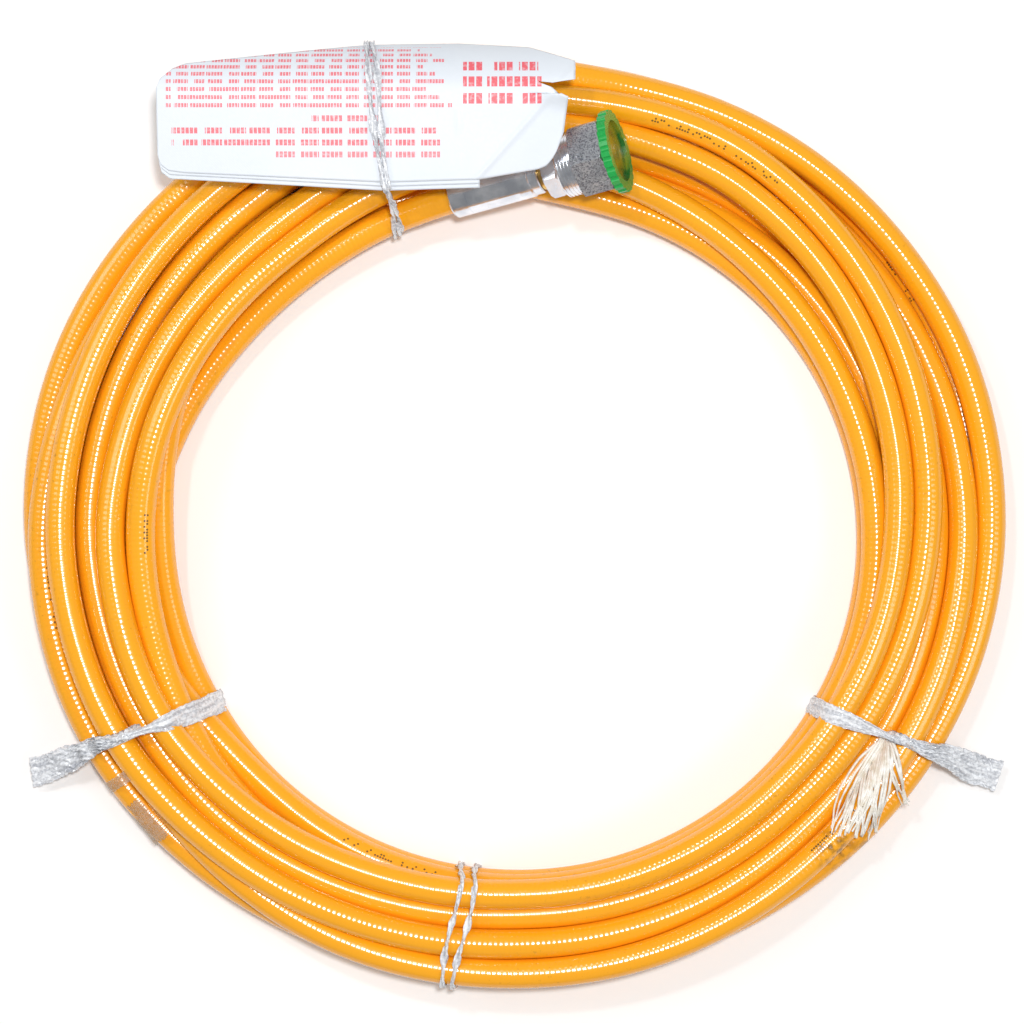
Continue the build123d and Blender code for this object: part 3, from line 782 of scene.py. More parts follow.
@dataclass(frozen=True)
class TagPaper:
    """White synthetic paper with a faint weave, printed with plain red bars."""

    paper: tuple = (0.74, 0.78, 0.83, 1.0)
    paper_shade: tuple = (0.70, 0.75, 0.81, 1.0)
    fibre_tone: tuple = (0.7, 0.73, 0.8, 1.0)
    weave_pitch: float = 0.0006
    print_red: tuple = (0.80, 0.10, 0.13, 1.0)
    blocks: tuple[PrintedRows, ...] = ()

    def material(self, effects: Effects) -> bpy.types.Material:
        """Each block is a stack of bars, broken into lengths by a coarse random pattern."""
        made, board, shader = new_material("tag_paper")
        x, y, _ = board.split(board.metres())
        ink = None
        for block in self.blocks:
            mask = self._rows(board, x, y, block)
            ink = mask if ink is None else board.math("MAXIMUM", ink, mask)
        wave_x = board.math("SINE", board.times(x, 2 * math.pi / self.weave_pitch))
        wave_y = board.math("SINE", board.times(y, 2 * math.pi / self.weave_pitch))
        weave = board.times(wave_x, wave_y)
        fibre = board.noise(board.place(), 900.0, 3.0)
        cloud = board.remap(board.noise(board.place(), 30.0, 2.0), 0.3, 0.7)
        paper = board.mix(cloud, self.paper, self.paper_shade)
        paper = board.mix(board.times(fibre, 0.12), paper, self.fibre_tone)
        colour = paper if ink is None else board.mix(ink, paper, self.print_red)
        height = board.plus(board.times(weave, 0.5), fibre)
        set_inputs(board, shader, {
            "Base Color": colour, "Roughness": board.remap(fibre, 0.3, 0.7, 0.38, 0.5),
            "Normal": board.bump(height, 0.00003)})
        return made

    def _rows(self, board: Board, x: Socket, y: Socket, block: PrintedRows) -> Socket:
        """Mask of one block: inside its box, inside a bar, and not in a gap between words."""
        row = board.over(board.minus(y, block.low), block.pitch)
        inside_bar = board.math("LESS_THAN", board.math("FRACT", row), block.bar)
        number = board.math("FLOOR", row)
        steps = board.math("FLOOR", board.over(x, block.word))
        chance = board.node("ShaderNodeTexWhiteNoise", {"noise_dimensions": "2D"}, {
            "Vector": board.join(steps, number)}).outputs[0]
        gap = board.math("FRACT", board.over(x, block.word))
        spaced = board.math("GREATER_THAN", gap, board.times(chance, 0.40))
        tick = board.math("FRACT", board.over(x, block.pitch * block.bar * 0.72))
        spaced = board.times(spaced, board.math("GREATER_THAN", tick, 0.22))
        shorter = board.times(board.math("FRACT", board.times(number, 0.37)), 0.12)
        reach = board.minus(block.right, board.times(shorter, block.right - block.left))
        box = board.times(board.math("GREATER_THAN", x, block.left),
                          board.math("LESS_THAN", x, reach))
        tall = board.times(board.math("GREATER_THAN", y, block.low),
                           board.math("LESS_THAN", y, block.high))
        mask = board.times(board.times(inside_bar, spaced),
                           board.times(box, tall))
        worn = board.remap(board.noise(board.join(x, y), 700.0, 3.0), 0.3, 0.5, 0.55, 1.0)
        return board.times(mask, board.times(worn, block.strength))


@dataclass(frozen=True)
class FilmPlastic:
    """Crumpled clear film: whitish, with fine streaks along it painted bright and dark as painted
    glints and painted shade of its folds.
    """

    name: str
    tone: tuple = (0.93, 0.95, 0.98, 1.0)
    shade: tuple = (0.50, 0.52, 0.57, 1.0)
    opacity: float = 0.88
    fineness: float = 1000.0

    def material(self, effects: Effects) -> bpy.types.Material:
        """Streaks along the strip and crinkles across it, in relief and as painted glints and painted
        shade in the colour.
        """
        made, board, shader = new_material(self.name)
        uv = board.metres()
        streak = board.group(effects.streaks, {
            "Vector": uv, "Fineness": self.fineness, "Stretch": 0.07})["Value"]
        crinkle = board.noise(board.place(), 900.0, 3.0)
        both = board.plus(board.times(streak, 0.65),
                          board.times(crinkle, 0.35))
        # Painted glints and painted shade: along the streaks and crinkles the colour goes from the
        # light tone to the dark shade.
        colour = board.mix(board.remap(both, 0.38, 0.56), self.shade, self.tone)
        clear = board.remap(crinkle, 0.3, 0.7, self.opacity - 0.12, min(1.0, self.opacity + 0.08))
        set_inputs(board, shader, {
            "Base Color": colour, "Roughness": board.remap(streak, 0.35, 0.65, 0.10, 0.3),
            "Alpha": clear, "Specular IOR Level": 0.7,
            "Normal": board.bump(both, 0.0006)})
        return made


@dataclass(frozen=True)
class StudioFloor:
    """Plain pale floor."""

    tone: tuple = (0.96, 0.965, 0.97, 1.0)
    cloud: tuple = (0.98, 0.98, 0.98, 1.0)

    def material(self) -> bpy.types.Material:
        """Matt, with the slightest cloud in its tone."""
        made, board, shader = new_material("studio_floor")
        cloud = board.remap(board.noise(board.place(), 2.0, 2.0), 0.3, 0.7)
        set_inputs(board, shader, {
            "Base Color": board.mix(cloud, self.tone, self.cloud), "Roughness": 0.9})
        return made


# ---------------------------------------------------------------- the frame's facts
@dataclass(frozen=True)
class FittingAxis:
    """A fitting's own axis.

    Attributes:
        mouth: middle of its ferrule's open end.
        along: unit direction from there towards the nut.
    """

    mouth: Array
    along: Array

    def at(self, distance: float) -> Array:
        """Point on the axis, this far from the mouth."""
        return self.mouth + self.along * distance


NUT_FROM_MOUTH = 0.04465    # from a ferrule's mouth to its swivel nut's near end
HOSE_INSERTED = 0.030       # hose inside the ferrule
TAIL_STRAIGHT = 0.017       # from the mouth to the hose's first turn
FROSTED_FROM = 0.0512       # from the mouth to the nut's hexagon
FITTING_SPAN = (-0.002, 0.068)      # where strands keep clear of a fitting, from its mouth
FITTING_STEPS = (0.0, 0.033, 0.045, 0.051)          # places along it, from its mouth
FITTING_HALVES = (0.0084, 0.0084, 0.011, 0.0150)    # its half-width at those places


def fitting_axis(frame: dict, joint: str) -> FittingAxis:
    """The axis of a fitting.

    Args:
        joint: name of the joint on which the fitting's nut turns.

    Returns:
        The fitting's axis.
    """
    joints = frame["record"]["behaviour"]["joints"]
    found = next(j for j in joints if j["name"] == joint)
    along = unit(np.array(found["axis"], float))
    return FittingAxis(np.array(found["pos_m"], float) - along * NUT_FROM_MOUTH, along)


# ---------------------------------------------------------------- hose
class Level(Enum):
    """Layer of the winding that a strand starts in: the height of its middle."""

    LOW = 0.0055
    MIDDLE = 0.0135
    TOP = 0.0215


L, M, T = Level.LOW, Level.MIDDLE, Level.TOP

# The ten turns as wound, from end A: (angle in degrees, radius in millimetres, layer).
# A radius is taken from the winding's middle.
TURNS = (
    ((180, 139, M), (200, 139, L), (212, 137, M), (230, 135, T), (253, 134, M), (270, 135, L),
     (315, 135, L), (341, 136, M), (360, 133, T), (405, 134, T), (440, 136, T)),
    ((490, 135, T), (540, 140, T), (572, 142, T), (600, 143, L), (630, 143, L), (675, 143, L),
     (720, 140, M), (765, 142, M), (800, 143, L)),
    ((850, 131, L), (880, 134, M), (917, 134, M), (950, 133, L), (990, 132, L), (1035, 133, L),
     (1080, 132, L), (1125, 131, L), (1160, 131, L)),
    ((1210, 151, M), (1230, 152, M), (1260, 148, L), (1305, 148, L), (1350, 145, L), (1395, 148, L),
     (1440, 149, L), (1483, 149, M), (1500, 148, T), (1520, 148, T)),
    ((1570, 143, T), (1595, 148, T), (1620, 151, T), (1645, 149, T), (1665, 145, T), (1690, 139, T),
     (1710, 136, T), (1755, 137, T), (1800, 144, T), (1828, 150, T), (1860, 158, T), (1880, 159, T)),
    ((1930, 160, T), (1980, 161, T), (2005, 158, T), (2025, 153, T), (2050, 148, T), (2070, 145, T),
     (2115, 147, T), (2160, 155, T), (2185, 160, T), (2220, 167, T), (2240, 167, T)),
    ((2290, 170, T), (2340, 171, T), (2367, 169, T), (2385, 164, T), (2412, 158, T), (2430, 156, T),
     (2475, 158, T), (2495, 161, T), (2520, 163, M), (2565, 165, L), (2600, 169, L)),
    ((2652, 183, T), (2675, 185, T), (2700, 183, T), (2727, 178, T), (2745, 179, M), (2790, 173, L),
     (2835, 171, L), (2880, 176, M), (2918, 176, M), (2930, 175, L), (2960, 174, L)),
    ((3010, 178, L), (3060, 180, L), (3095, 176, M), (3115, 171, T), (3150, 168, T), (3198, 167, T),
     (3240, 170, M), (3265, 169, L), (3320, 167, L)),
    ((3370, 171, L), (3390, 176, M), (3420, 179, T), (3447, 176, T), (3475, 171, T), (3502, 169, L),
     (3530, 174, M), (3558, 177, T), (3585, 180, T), (3620, 182, T), (3650, 178, T), (3668, 174, T)),
)

# Where the hose leaves the winding for each fitting, from the fitting inwards.
ROUTE_A = ((-0.0697, 0.1010, 0.0145), (-0.0974, 0.0788, 0.0125), (-0.1206, 0.0504, 0.0115),
           (-0.1343, 0.0226, 0.0110))
ROUTE_B = ((0.0030, 0.1690, 0.0265), (0.0385, 0.1646, 0.0185))


@dataclass
class Winding:
    """The coil's turns, laid out from the table and let down until they rest on each other.

    Attributes:
        end_a: axis of the fitting that the first turn starts from.
        centre: the winding's middle on the floor plane.
        opening: middle and half-lengths of the ellipse that every strand stays outside.
        outside: middle and half-lengths of the ellipse that every strand stays inside.
        diameter: the hose's outside.
        stations: cross-sections in one turn, where the turns meet each other.
        tail_a_from: direction, in degrees, from which fitting A's hose counts as a strand.
        tail_b_to: direction, in degrees, up to which fitting B's hose counts as a strand.
        rounds: steps of letting down.
        hold: share of the way back to the table's radius, in one step, for a top strand.
        hold_low: share of that pull which a hidden strand on the floor gets.
        fall: how far a strand sinks in one step.
        ceiling: highest middle of a strand below fitting B and the hose that leaves it.
        under: directions, in degrees, between which that ceiling holds.
        spacing: distance that strands keep, in diameters.
        push: share of a missing distance that each of two strands makes good in one step.
        nudge: share of the way back inside the ellipses, or below the ceiling, in one step.
        even: share of the way to its neighbours' mean that a point goes in one step.
        even_late: the same in the last steps, where the strands no longer sink.
        late_from: share of the steps after which the last ones start.
    """

    end_a: FittingAxis
    centre: tuple[float, float] = (0.0009, -0.0037)
    opening: tuple = ((0.0021, -0.0078), (0.1304, 0.1274))
    outside: tuple = ((0.0, 0.0), (0.1880, 0.1765))
    diameter: float = 0.011
    stations: int = 48
    tail_a_from: float = 120.0
    tail_b_to: float = 3690.0
    rounds: int = 2000
    hold: float = 0.010
    hold_low: float = 0.1
    fall: float = 0.00002
    ceiling: float = 0.0240
    under: tuple = (52.0, 132.0)
    spacing: float = 1.005
    push: float = 0.3
    nudge: float = 0.4
    even: float = 0.3
    even_late: float = 0.12
    late_from: float = 0.8

    def settled(self) -> Array:
        """Control points of the turns, from end A's side to end B's, as x, y and z."""
        step = 360 / self.stations
        rows = len(TURNS) + 1
        angle = (np.arange(rows * self.stations) * step).reshape(rows, self.stations)
        keys = [key for turn in TURNS for key in turn]
        key_angle = np.array([key[0] for key in keys], float)
        target = np.interp(angle, key_angle, [key[1] * MM for key in keys])
        height = np.interp(angle, key_angle, [key[2].value for key in keys])
        free = (angle >= key_angle[0]) & (angle <= key_angle[-1])
        start_angle, start_r, start_z = self._polar(ROUTE_A[::-1], 0)
        end_angle, end_r, end_z = self._polar(ROUTE_B[::-1], len(TURNS))
        at_start = (angle >= self.tail_a_from) & (angle < key_angle[0])
        at_end = (angle > key_angle[-1]) & (angle <= self.tail_b_to)
        for where, a, r, z in ((at_start, start_angle, start_r, start_z),
                               (at_end, end_angle, end_r, end_z)):
            order = np.argsort(a)
            target = np.where(where, np.interp(angle, a[order], r[order]), target)
            height = np.where(where, np.interp(angle, a[order], z[order]), height)
        there = free | at_start | at_end
        radius, height = self._let_down(target, height, free, there)
        way = np.radians(angle[free])
        x = self.centre[0] + radius[free] * np.cos(way)
        y = self.centre[1] + radius[free] * np.sin(way)
        return np.stack([x, y, height[free]], axis=1)

    def _polar(self, route: tuple, turn: int) -> tuple[Array, Array, Array]:
        """A route's points as angle, radius and height.

        Args:
            route: the points, as x, y and z.
            turn: number of the turn in which they lie.

        Returns:
            Angles in degrees, counted from the first turn, then radii and heights.
        """
        points = np.array(route)
        x, y = points[:, 0] - self.centre[0], points[:, 1] - self.centre[1]
        return np.degrees(np.arctan2(y, x)) + 360 * turn, np.hypot(x, y), points[:, 2]

    def _reach(self, oval: tuple) -> Array:
        """Distance from the winding's middle to an ellipse, in each station's direction.

        It is the positive root of the quadratic that putting the ray into the ellipse gives.

        Args:
            oval: the ellipse's middle and its half-lengths along x and y.

        Returns:
            One distance for each station.
        """
        (x, y), (a, b) = oval
        way = np.radians(np.arange(self.stations) * 360 / self.stations)
        dx, dy = np.cos(way), np.sin(way)
        from_x, from_y = self.centre[0] - x, self.centre[1] - y
        two = (dx / a) ** 2 + (dy / b) ** 2
        one = 2 * (from_x * dx / a**2 + from_y * dy / b**2)
        none = (from_x / a) ** 2 + (from_y / b) ** 2 - 1
        return (-one + np.sqrt(one**2 - 4 * two * none)) / (2 * two)

    def _blocks(self) -> tuple[Array, Array, Array]:
        """Radius, height and half-width of fitting A where it crosses each station's plane."""
        way = np.radians(np.arange(self.stations) * 360 / self.stations)
        normal = np.stack([np.sin(way), -np.cos(way), np.zeros_like(way)], axis=1)
        radial = np.stack([np.cos(way), np.sin(way), np.zeros_like(way)], axis=1)
        from_middle = self.end_a.mouth - np.array([*self.centre, 0.0])
        reach = -(normal @ from_middle) / (normal @ self.end_a.along)
        point = from_middle + reach[:, None] * self.end_a.along
        radius = np.sum(point * radial, axis=1)
        crosses = (reach > FITTING_SPAN[0]) & (reach < FITTING_SPAN[1]) & (radius > 0)
        half = np.interp(reach, FITTING_STEPS, FITTING_HALVES)
        return np.where(crosses, radius, -1.0), point[:, 2], half

    def _let_down(self, target: Array, height: Array, free: Array,
                  there: Array) -> tuple[Array, Array]:
        """Steps in which strands sink, push apart to a diameter, and stay smooth along the hose.

        Args:
            target: wanted radius at each station of each turn.
            height: first height there.
            free: where a strand may move.
            there: where there is a strand.

        Returns:
            Radius and height after the last step.
        """
        radius = target.copy()
        shares = (self.hold_low, (1 + self.hold_low) / 2, 1.0)
        pull = self.hold * np.interp(height, [level.value for level in Level], shares)
        way = np.arange(self.stations) * 360 / self.stations
        covered = (way > self.under[0]) & (way < self.under[1])
        roof = np.where(covered, self.ceiling, np.inf)
        pair = there[:, None] & there[None] & ~np.eye(len(there), dtype=bool)[..., None]
        block_r, block_z, block_half = self._blocks()
        inner = self._reach(self.opening) + self.diameter / 2
        outer = self._reach(self.outside) - self.diameter / 2
        for count in range(self.rounds):
            late = count > self.rounds * self.late_from
            even = self.even_late if late else self.even
            dr = radius[:, None] - radius[None]
            dz = height[:, None] - height[None]
            gap = np.sqrt(dr**2 + dz**2) + 1e-9
            lack = np.where(pair, np.clip(self.diameter * self.spacing - gap, 0, None), 0)
            push_r = (lack * dr / gap).sum(1) * self.push
            push_z = (lack * dz / gap).sum(1) * self.push
            to_r, to_z = radius - block_r, height - block_z
            away = np.hypot(to_r, to_z) + 1e-9
            hit = np.clip(block_half + self.diameter / 2 - away, 0, None) * (block_r > 0)
            push_r += hit * np.abs(to_r) / away
            push_z -= hit * np.abs(to_z) / away
            radius = radius + np.where(free, push_r, 0)
            height = height + np.where(free, push_z - (0 if late else self.fall), 0)
            radius = radius + np.where(free, pull * (target - radius), 0)
            height = height + np.where(free, self.nudge * np.clip(roof - height, None, 0), 0)
            kept = np.clip(radius, inner, outer)
            radius = np.where(free, radius + self.nudge * (kept - radius), radius)
            radius = target + self._evened(radius - target, free, even)
            height = self._evened(height, free, even)
            height = np.maximum(height, self.diameter / 2)
        return radius, height

    def _evened(self, values: Array, free: Array, share: float) -> Array:
        """Values moved towards the mean of their neighbours along the hose.

        Args:
            values: one for each station of each turn.
            free: where a value may move.
            share: how much of the way it moves.

        Returns:
            The moved values.
        """
        line = values.ravel()
        mean = (np.roll(line, 1) + np.roll(line, -1)) / 2
        return np.where(free, line.reshape(values.shape) * (1 - share)
                        + mean.reshape(values.shape) * share, values)


@dataclass
class Hose:
    """The whole hose, from inside one ferrule to inside the other.

    Attributes:
        end_a: axis of the fitting at its first end.
        end_b: axis of the fitting at its far end.
        finish: its material.
        diameter: its outside.
        sides: points round the tube.
        samples_per_span: points that the spline gives for each control point.
        line: the centreline, once the hose is made.
    """

    end_a: FittingAxis
    end_b: FittingAxis
    finish: bpy.types.Material
    diameter: float = 0.011
    sides: int = 30
    samples_per_span: int = 6
    line: Array = field(init=False)

    def make(self, nodes: dict) -> bpy.types.Object:
        """Args:
            nodes: the frame's nodes, by name. Not used.

        Returns:
            The hose.
        """
        turns = Winding(self.end_a).settled()
        start = [self.end_a.at(HOSE_INSERTED), self.end_a.at(-TAIL_STRAIGHT)]
        finish = [self.end_b.at(-TAIL_STRAIGHT), self.end_b.at(HOSE_INSERTED)]
        points = np.array([*start, *ROUTE_A, *turns, *ROUTE_B[::-1], *finish])
        self.line = self._spline(points)
        tube = sweep(self.line, self.diameter / 2, self.sides)
        hose = build("spray_hose", [tube])
        hose.data.materials.append(self.finish)
        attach(hose, "root")
        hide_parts("hose_coil", "hose_tail_a", "hose_tail_b")
        length = float(distances(self.line)[-1])
        LOG.info("hose centreline %.3f m", length)
        return hose

    def _spline(self, points: Array) -> Array:
        """Points along the route's own spline.

        Args:
            points: the route's control points.

        Returns:
            The spline's points, evenly many for each control point.
        """
        curve = bpy.data.curves.new("hose_route", "CURVE")
        curve.dimensions = "3D"
        spline = curve.splines.new("NURBS")
        spline.points.add(len(points) - 1)
        flat = np.concatenate([points, np.ones((len(points), 1))], axis=1)
        spline.points.foreach_set("co", flat.astype(np.float32).ravel())
        spline.order_u = 3
        spline.use_endpoint_u = True
        spline.resolution_u = self.samples_per_span
        holder = bpy.data.objects.new("hose_route", curve)
        mesh = bpy.data.meshes.new_from_object(holder)
        line = np.zeros(len(mesh.vertices) * 3, np.float32)
        mesh.vertices.foreach_get("co", line)
        bpy.data.objects.remove(holder)
        bpy.data.curves.remove(curve)
        bpy.data.meshes.remove(mesh)
        return line.reshape(-1, 3).astype(float)


# ---------------------------------------------------------------- tag
@dataclass(frozen=True)
class TagShape:
    """The leaves' common bend, from the opening's side up and over to the coil's outer side.

    Attributes:
        crest_z: height of the top leaf's highest line.
        flat_to_y: where the sloping flat part ends.
        radius: radius of the bend after it.
        slope: fall of the flat part towards the opening, in degrees.
        bend: how far the outer edge is bent down, in degrees.
        covers: flat distances between which the profile is worked out.
        samples: points on the profile.
    """

    crest_z: float
    flat_to_y: float = 0.152
    radius: float = 0.021
    slope: float = 9.0
    bend: float = 62.0
    covers: tuple = (0.108, 0.184)
    samples: int = 500

    def profile(self) -> tuple[Array, Array, Array]:
        """Flat distance, y and z at points down the sheet: a straight, an arc, a straight."""
        flat = np.linspace(*self.covers, self.samples)
        lean, end = math.radians(self.slope), math.radians(self.bend)
        past = flat - self.flat_to_y
        turned = np.clip(past / self.radius, 0, lean + end) - lean
        after = np.clip(past - self.radius * (lean + end), 0, None)
        before = np.clip(past, None, 0)
        y = self.flat_to_y + self.radius * (np.sin(turned) + math.sin(lean))
        z = self.crest_z + self.radius * (np.cos(turned) - 1)
        y = y + before * math.cos(lean) + after * math.cos(end)
        z = z + before * math.sin(lean) - after * math.sin(end)
        return flat, y, z

    def height(self, y: Array) -> Array:
        """Height of the top leaf above a place."""
        _, known_y, known_z = self.profile()
        return np.interp(y, known_y, known_z)


@dataclass(frozen=True)
class LeafOutline:
    """Edges of a leaf, seen from above, as (x, y) points from left to right or low to high."""

    left: float
    low: tuple
    high: tuple
    right: tuple


FRONT_OUTLINE = LeafOutline(
    left=-0.1293,
    low=((-0.1293, 0.1330), (-0.1284, 0.1292), (-0.1255, 0.1268), (-0.1200, 0.1260),
         (-0.0466, 0.1226), (-0.0119, 0.1236), (0.0094, 0.1274), (0.0150, 0.1298),
         (0.0186, 0.1346), (0.0228, 0.1400)),
    high=((-0.1293, 0.1560), (-0.1280, 0.1595), (-0.1235, 0.1635), (-0.1190, 0.1655),
          (-0.0528, 0.1738), (-0.0200, 0.1746), (0.0060, 0.1726), (0.0228, 0.1666)),
    right=((0.1280, 0.0125), (0.1310, 0.0165), (0.1346, 0.0186), (0.1475, 0.0202),
           (0.1532, 0.0144), (0.1541, 0.0085), (0.1549, 0.0156), (0.1556, 0.0228),
           (0.1666, 0.0228)))


def back_outline(step: float) -> LeafOutline:
    """Outline of a leaf that lies under the front one and ends part way along it.

    Args:
        step: how far it shows past the front leaf's low edge.

    Returns:
        The leaf's outline.
    """
    return LeafOutline(
        left=-0.1290,
        low=((-0.1290, 0.1330 - step), (-0.1281, 0.1292 - step), (-0.1250, 0.1268 - step),
             (-0.0466, 0.1226 - step), (-0.0120, 0.1236 - step)),
        high=((-0.1290, 0.1560), (-0.1235, 0.1620), (-0.0528, 0.1726), (-0.0120, 0.1734)),
        right=((0.1230, -0.0120), (0.1730, -0.0120)))


@dataclass
class Tag:
    """The hang tag: a printed front leaf and two more under it.

    Places on the sheet are x and the distance up the flat sheet.

    Attributes:
        shape: the leaves' bend.
        paper: finish of the leaves under the front one.
        printed: finish of the front leaf.
        leaf_step: height between one leaf and the next.
        stagger: how far each leaf shows past the one above it.
        thickness: a leaf's thickness.
        columns: points across a leaf.
        rows: points up a leaf.
        crease: a place on the folded corner's crease.
        slit: how far up the sheet the torn slit lies.
        pinch: the middle of the short raised line.
    """

    shape: TagShape
    paper: bpy.types.Material
    printed: bpy.types.Material
    leaf_step: float = 0.00065
    stagger: float = 0.0014
    thickness: float = 0.00025
    columns: int = 150
    rows: int = 90
    crease: tuple = (0.0103, 0.1497)
    slit: float = 0.1541
    pinch: tuple = (-0.0195, 0.1440)

    def make(self) -> None:
        """Builds the leaves."""
        self._leaf("tag_leaf_front", "tag_front_leaf", FRONT_OUTLINE, 0, self.printed)
        self._leaf("tag_leaf_middle", "tag_middle_leaf", back_outline(self.stagger), 1, self.paper)
        self._leaf("tag_leaf_back", "tag_back_leaf", back_outline(2 * self.stagger), 2, self.paper)

    def _leaf(self, name: str, node: str, outline: LeafOutline, depth: int,
              finish: bpy.types.Material) -> None:
        """One leaf.

        Args:
            name: the new object's name.
            node: the CAD node that it stands for.
            outline: its edges.
            depth: 0 for the top leaf, 1 for the next, and so on.
            finish: its material.
        """
        flat, known_y, known_z = self.shape.profile()
        v = np.linspace(0, 1, self.rows)[:, None]
        u = np.linspace(0, 1, self.columns)[None]
        if depth == 0:
            v = v - 0.35 * np.sin(2 * math.pi * (v - 0.62)) / (2 * math.pi)
            v = (v - v[0]) / (v[-1] - v[0])
        u = u**1.12
        side = np.array(outline.right)
        tall = side[0, 0] + (side[-1, 0] - side[0, 0]) * v
        right = np.interp(tall, side[:, 0], side[:, 1])
        x = outline.left + (right - outline.left) * u
        low, high = np.array(outline.low), np.array(outline.high)
        low_y = np.interp(x, low[:, 0], low[:, 1])
        high_y = np.interp(x, high[:, 0], high[:, 1])
        low_flat = np.interp(low_y, known_y, flat)
        high_flat = np.interp(high_y, known_y, flat)
        along = low_flat + (high_flat - low_flat) * v
        y = np.interp(along, flat, known_y)
        z = np.interp(along, flat, known_z) - depth * self.leaf_step
        z = z + self._waves(x, along)
        if depth == 0:
            z = z + self._damage(x, along)
        points = np.stack([x, y, z], axis=-1)
        leaf = build(name, [Patch(points, np.arange(self.rows + 0.0), np.arange(self.columns + 1.0))])
        self._lay_flat(leaf, x, along)
        leaf.data.materials.append(finish)
        solid = leaf.modifiers.new("thickness", "SOLIDIFY")
        solid.thickness = self.thickness
        solid.offset = -1
        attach(leaf, "root")
        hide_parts(node)
        wide, tall = float(np.ptp(x)), float(np.ptp(along))
        LOG.info("%s is %.0f x %.0f mm flat", name, wide / MM, tall / MM)

    def _waves(self, x: Array, along: Array) -> Array:
        """Slow ripples that every leaf shares."""
        return 0.00022 * (np.sin(x / 0.017 + 1.0) * np.cos(along / 0.019) + np.sin(x / 0.041))

    def _damage(self, x: Array, along: Array) -> Array:
        """The front leaf's folded corner and the lips of its torn slit."""
        past_fold = (x - self.crease[0]) * 0.745 - (along - self.crease[1]) * 0.667
        fold = -0.11 * np.clip(past_fold, 0, 0.018)
        ridge = 0.0005 * np.exp(-(past_fold / 0.0008) ** 2)
        near = np.exp(-((along - self.slit) / 0.0035) ** 2)
        lip = np.clip(x - 0.004, 0, None) / 0.012
        below = np.where(along < self.slit, 1.0, -0.5)
        short, long = (x - self.pinch[0]) / 0.0009, (along - self.pinch[1]) / 0.0045
        pinch = 0.0005 * np.exp(-short**2) * np.exp(-(long**2))
        return fold + ridge + 0.0021 * near * lip**1.5 * below + pinch

    def _lay_flat(self, leaf: bpy.types.Object, x: Array, along: Array) -> None:
        """UV map of the leaf as it was before it was bent."""
        loops = np.zeros(len(leaf.data.loops), np.int32)
        leaf.data.loops.foreach_get("vertex_index", loops)
        uv = np.stack([x.ravel(), along.ravel()], axis=1)[loops]
        leaf.data.uv_layers["metres"].data.foreach_set("uv", uv.astype(np.float32).ravel())


# ---------------------------------------------------------------- ties
@dataclass(frozen=True)
class Cut:
    """Upright plane across the bundle, from a point at its inner side and outwards.

    Attributes:
        start: x and y of that point.
        heading: outward direction, in degrees from +X.
    """

    start: tuple[float, float]
    heading: float

    @property
    def ahead(self) -> Array:
        """Unit direction outwards."""
        return np.array([math.cos(math.radians(self.heading)), math.sin(math.radians(self.heading))])

    @property
    def aside(self) -> Array:
        """Unit direction square to the plane."""
        return np.array([-self.ahead[1], self.ahead[0]])

    def lift(self, flat: Array) -> Array:
        """Points in space from distances ahead and heights."""
        plan = np.array(self.start) + flat[:, :1] * self.ahead
        return np.concatenate([plan, flat[:, 1:]], axis=1)


@dataclass
class Bundle:
    """The laid hose, as the ties and the tape find it.

    Attributes:
        line: the hose's centreline.
        radius: half the hose's outside.
    """

    line: Array
    radius: float = 0.0055

    def strands(self, cut: Cut, reach: float = 0.09) -> Array:
        """Distance ahead and height of every strand where it passes through the cut."""
        plan = self.line[:, :2] - np.array(cut.start)
        side, ahead = plan @ cut.aside, plan @ cut.ahead
        share = side[:-1] / (side[:-1] - side[1:] + 1e-15)
        passing = (side[:-1] * side[1:] < 0) & (ahead[:-1] > -0.02) & (ahead[:-1] < reach)
        at = ahead[:-1] + share * np.diff(ahead)
        height = self.line[:-1, 2] + share * np.diff(self.line[:, 2])
        return np.stack([at[passing], height[passing]], axis=1)

    def loop(self, cut: Cut, off: float, points: int, over: Array | None = None):
        """Tight loop round the strands: for each direction, the strand that reaches furthest.

        Args:
            cut: where the loop lies.
            off: distance kept from the strands.
            points: how many points it gets.
            over: further places, as distances ahead and heights, that it also goes round.

        Returns:
            Distances ahead and heights, and the outward direction at each.
        """
        centres = self.strands(cut)
        radii = np.full(len(centres), self.radius + off)
        if over is not None:
            centres = np.concatenate([centres, over])
            radii = np.append(radii, np.full(len(over), off))
        angle = np.linspace(0, 2 * math.pi, 1440)
        normal = np.stack([np.cos(angle), np.sin(angle)], axis=1)
        furthest = np.argmax(centres @ normal.T + radii[:, None], axis=0)
        path = centres[furthest] + radii[furthest, None] * normal
        gone = distances(path)
        step = np.linspace(0, gone[-1], points, endpoint=False)
        even = np.stack([np.interp(step, gone, path[:, i]) for i in (0, 1)], axis=1)
        facing = np.stack([np.interp(step, gone, normal[:, i]) for i in (0, 1)], axis=1)
        even[:, 1] = np.maximum(even[:, 1], off)
        return even, facing

    def top(self, plan: Array, off: float) -> Array:
        """Height at which something off above the hose lies, at these places."""
        fine = np.linspace(0, len(self.line) - 1, 4 * len(self.line))
        known = np.arange(len(self.line))
        line = np.stack([np.interp(fine, known, self.line[:, i]) for i in range(3)], axis=1)
        apart = np.linalg.norm(plan[:, None] - line[None, :, :2], axis=2)
        round_top = np.sqrt(np.clip((self.radius + off) ** 2 - apart**2, 0, None))
        height = np.where(apart < self.radius + off, line[None, :, 2] + round_top, off)
        return height.max(axis=1)


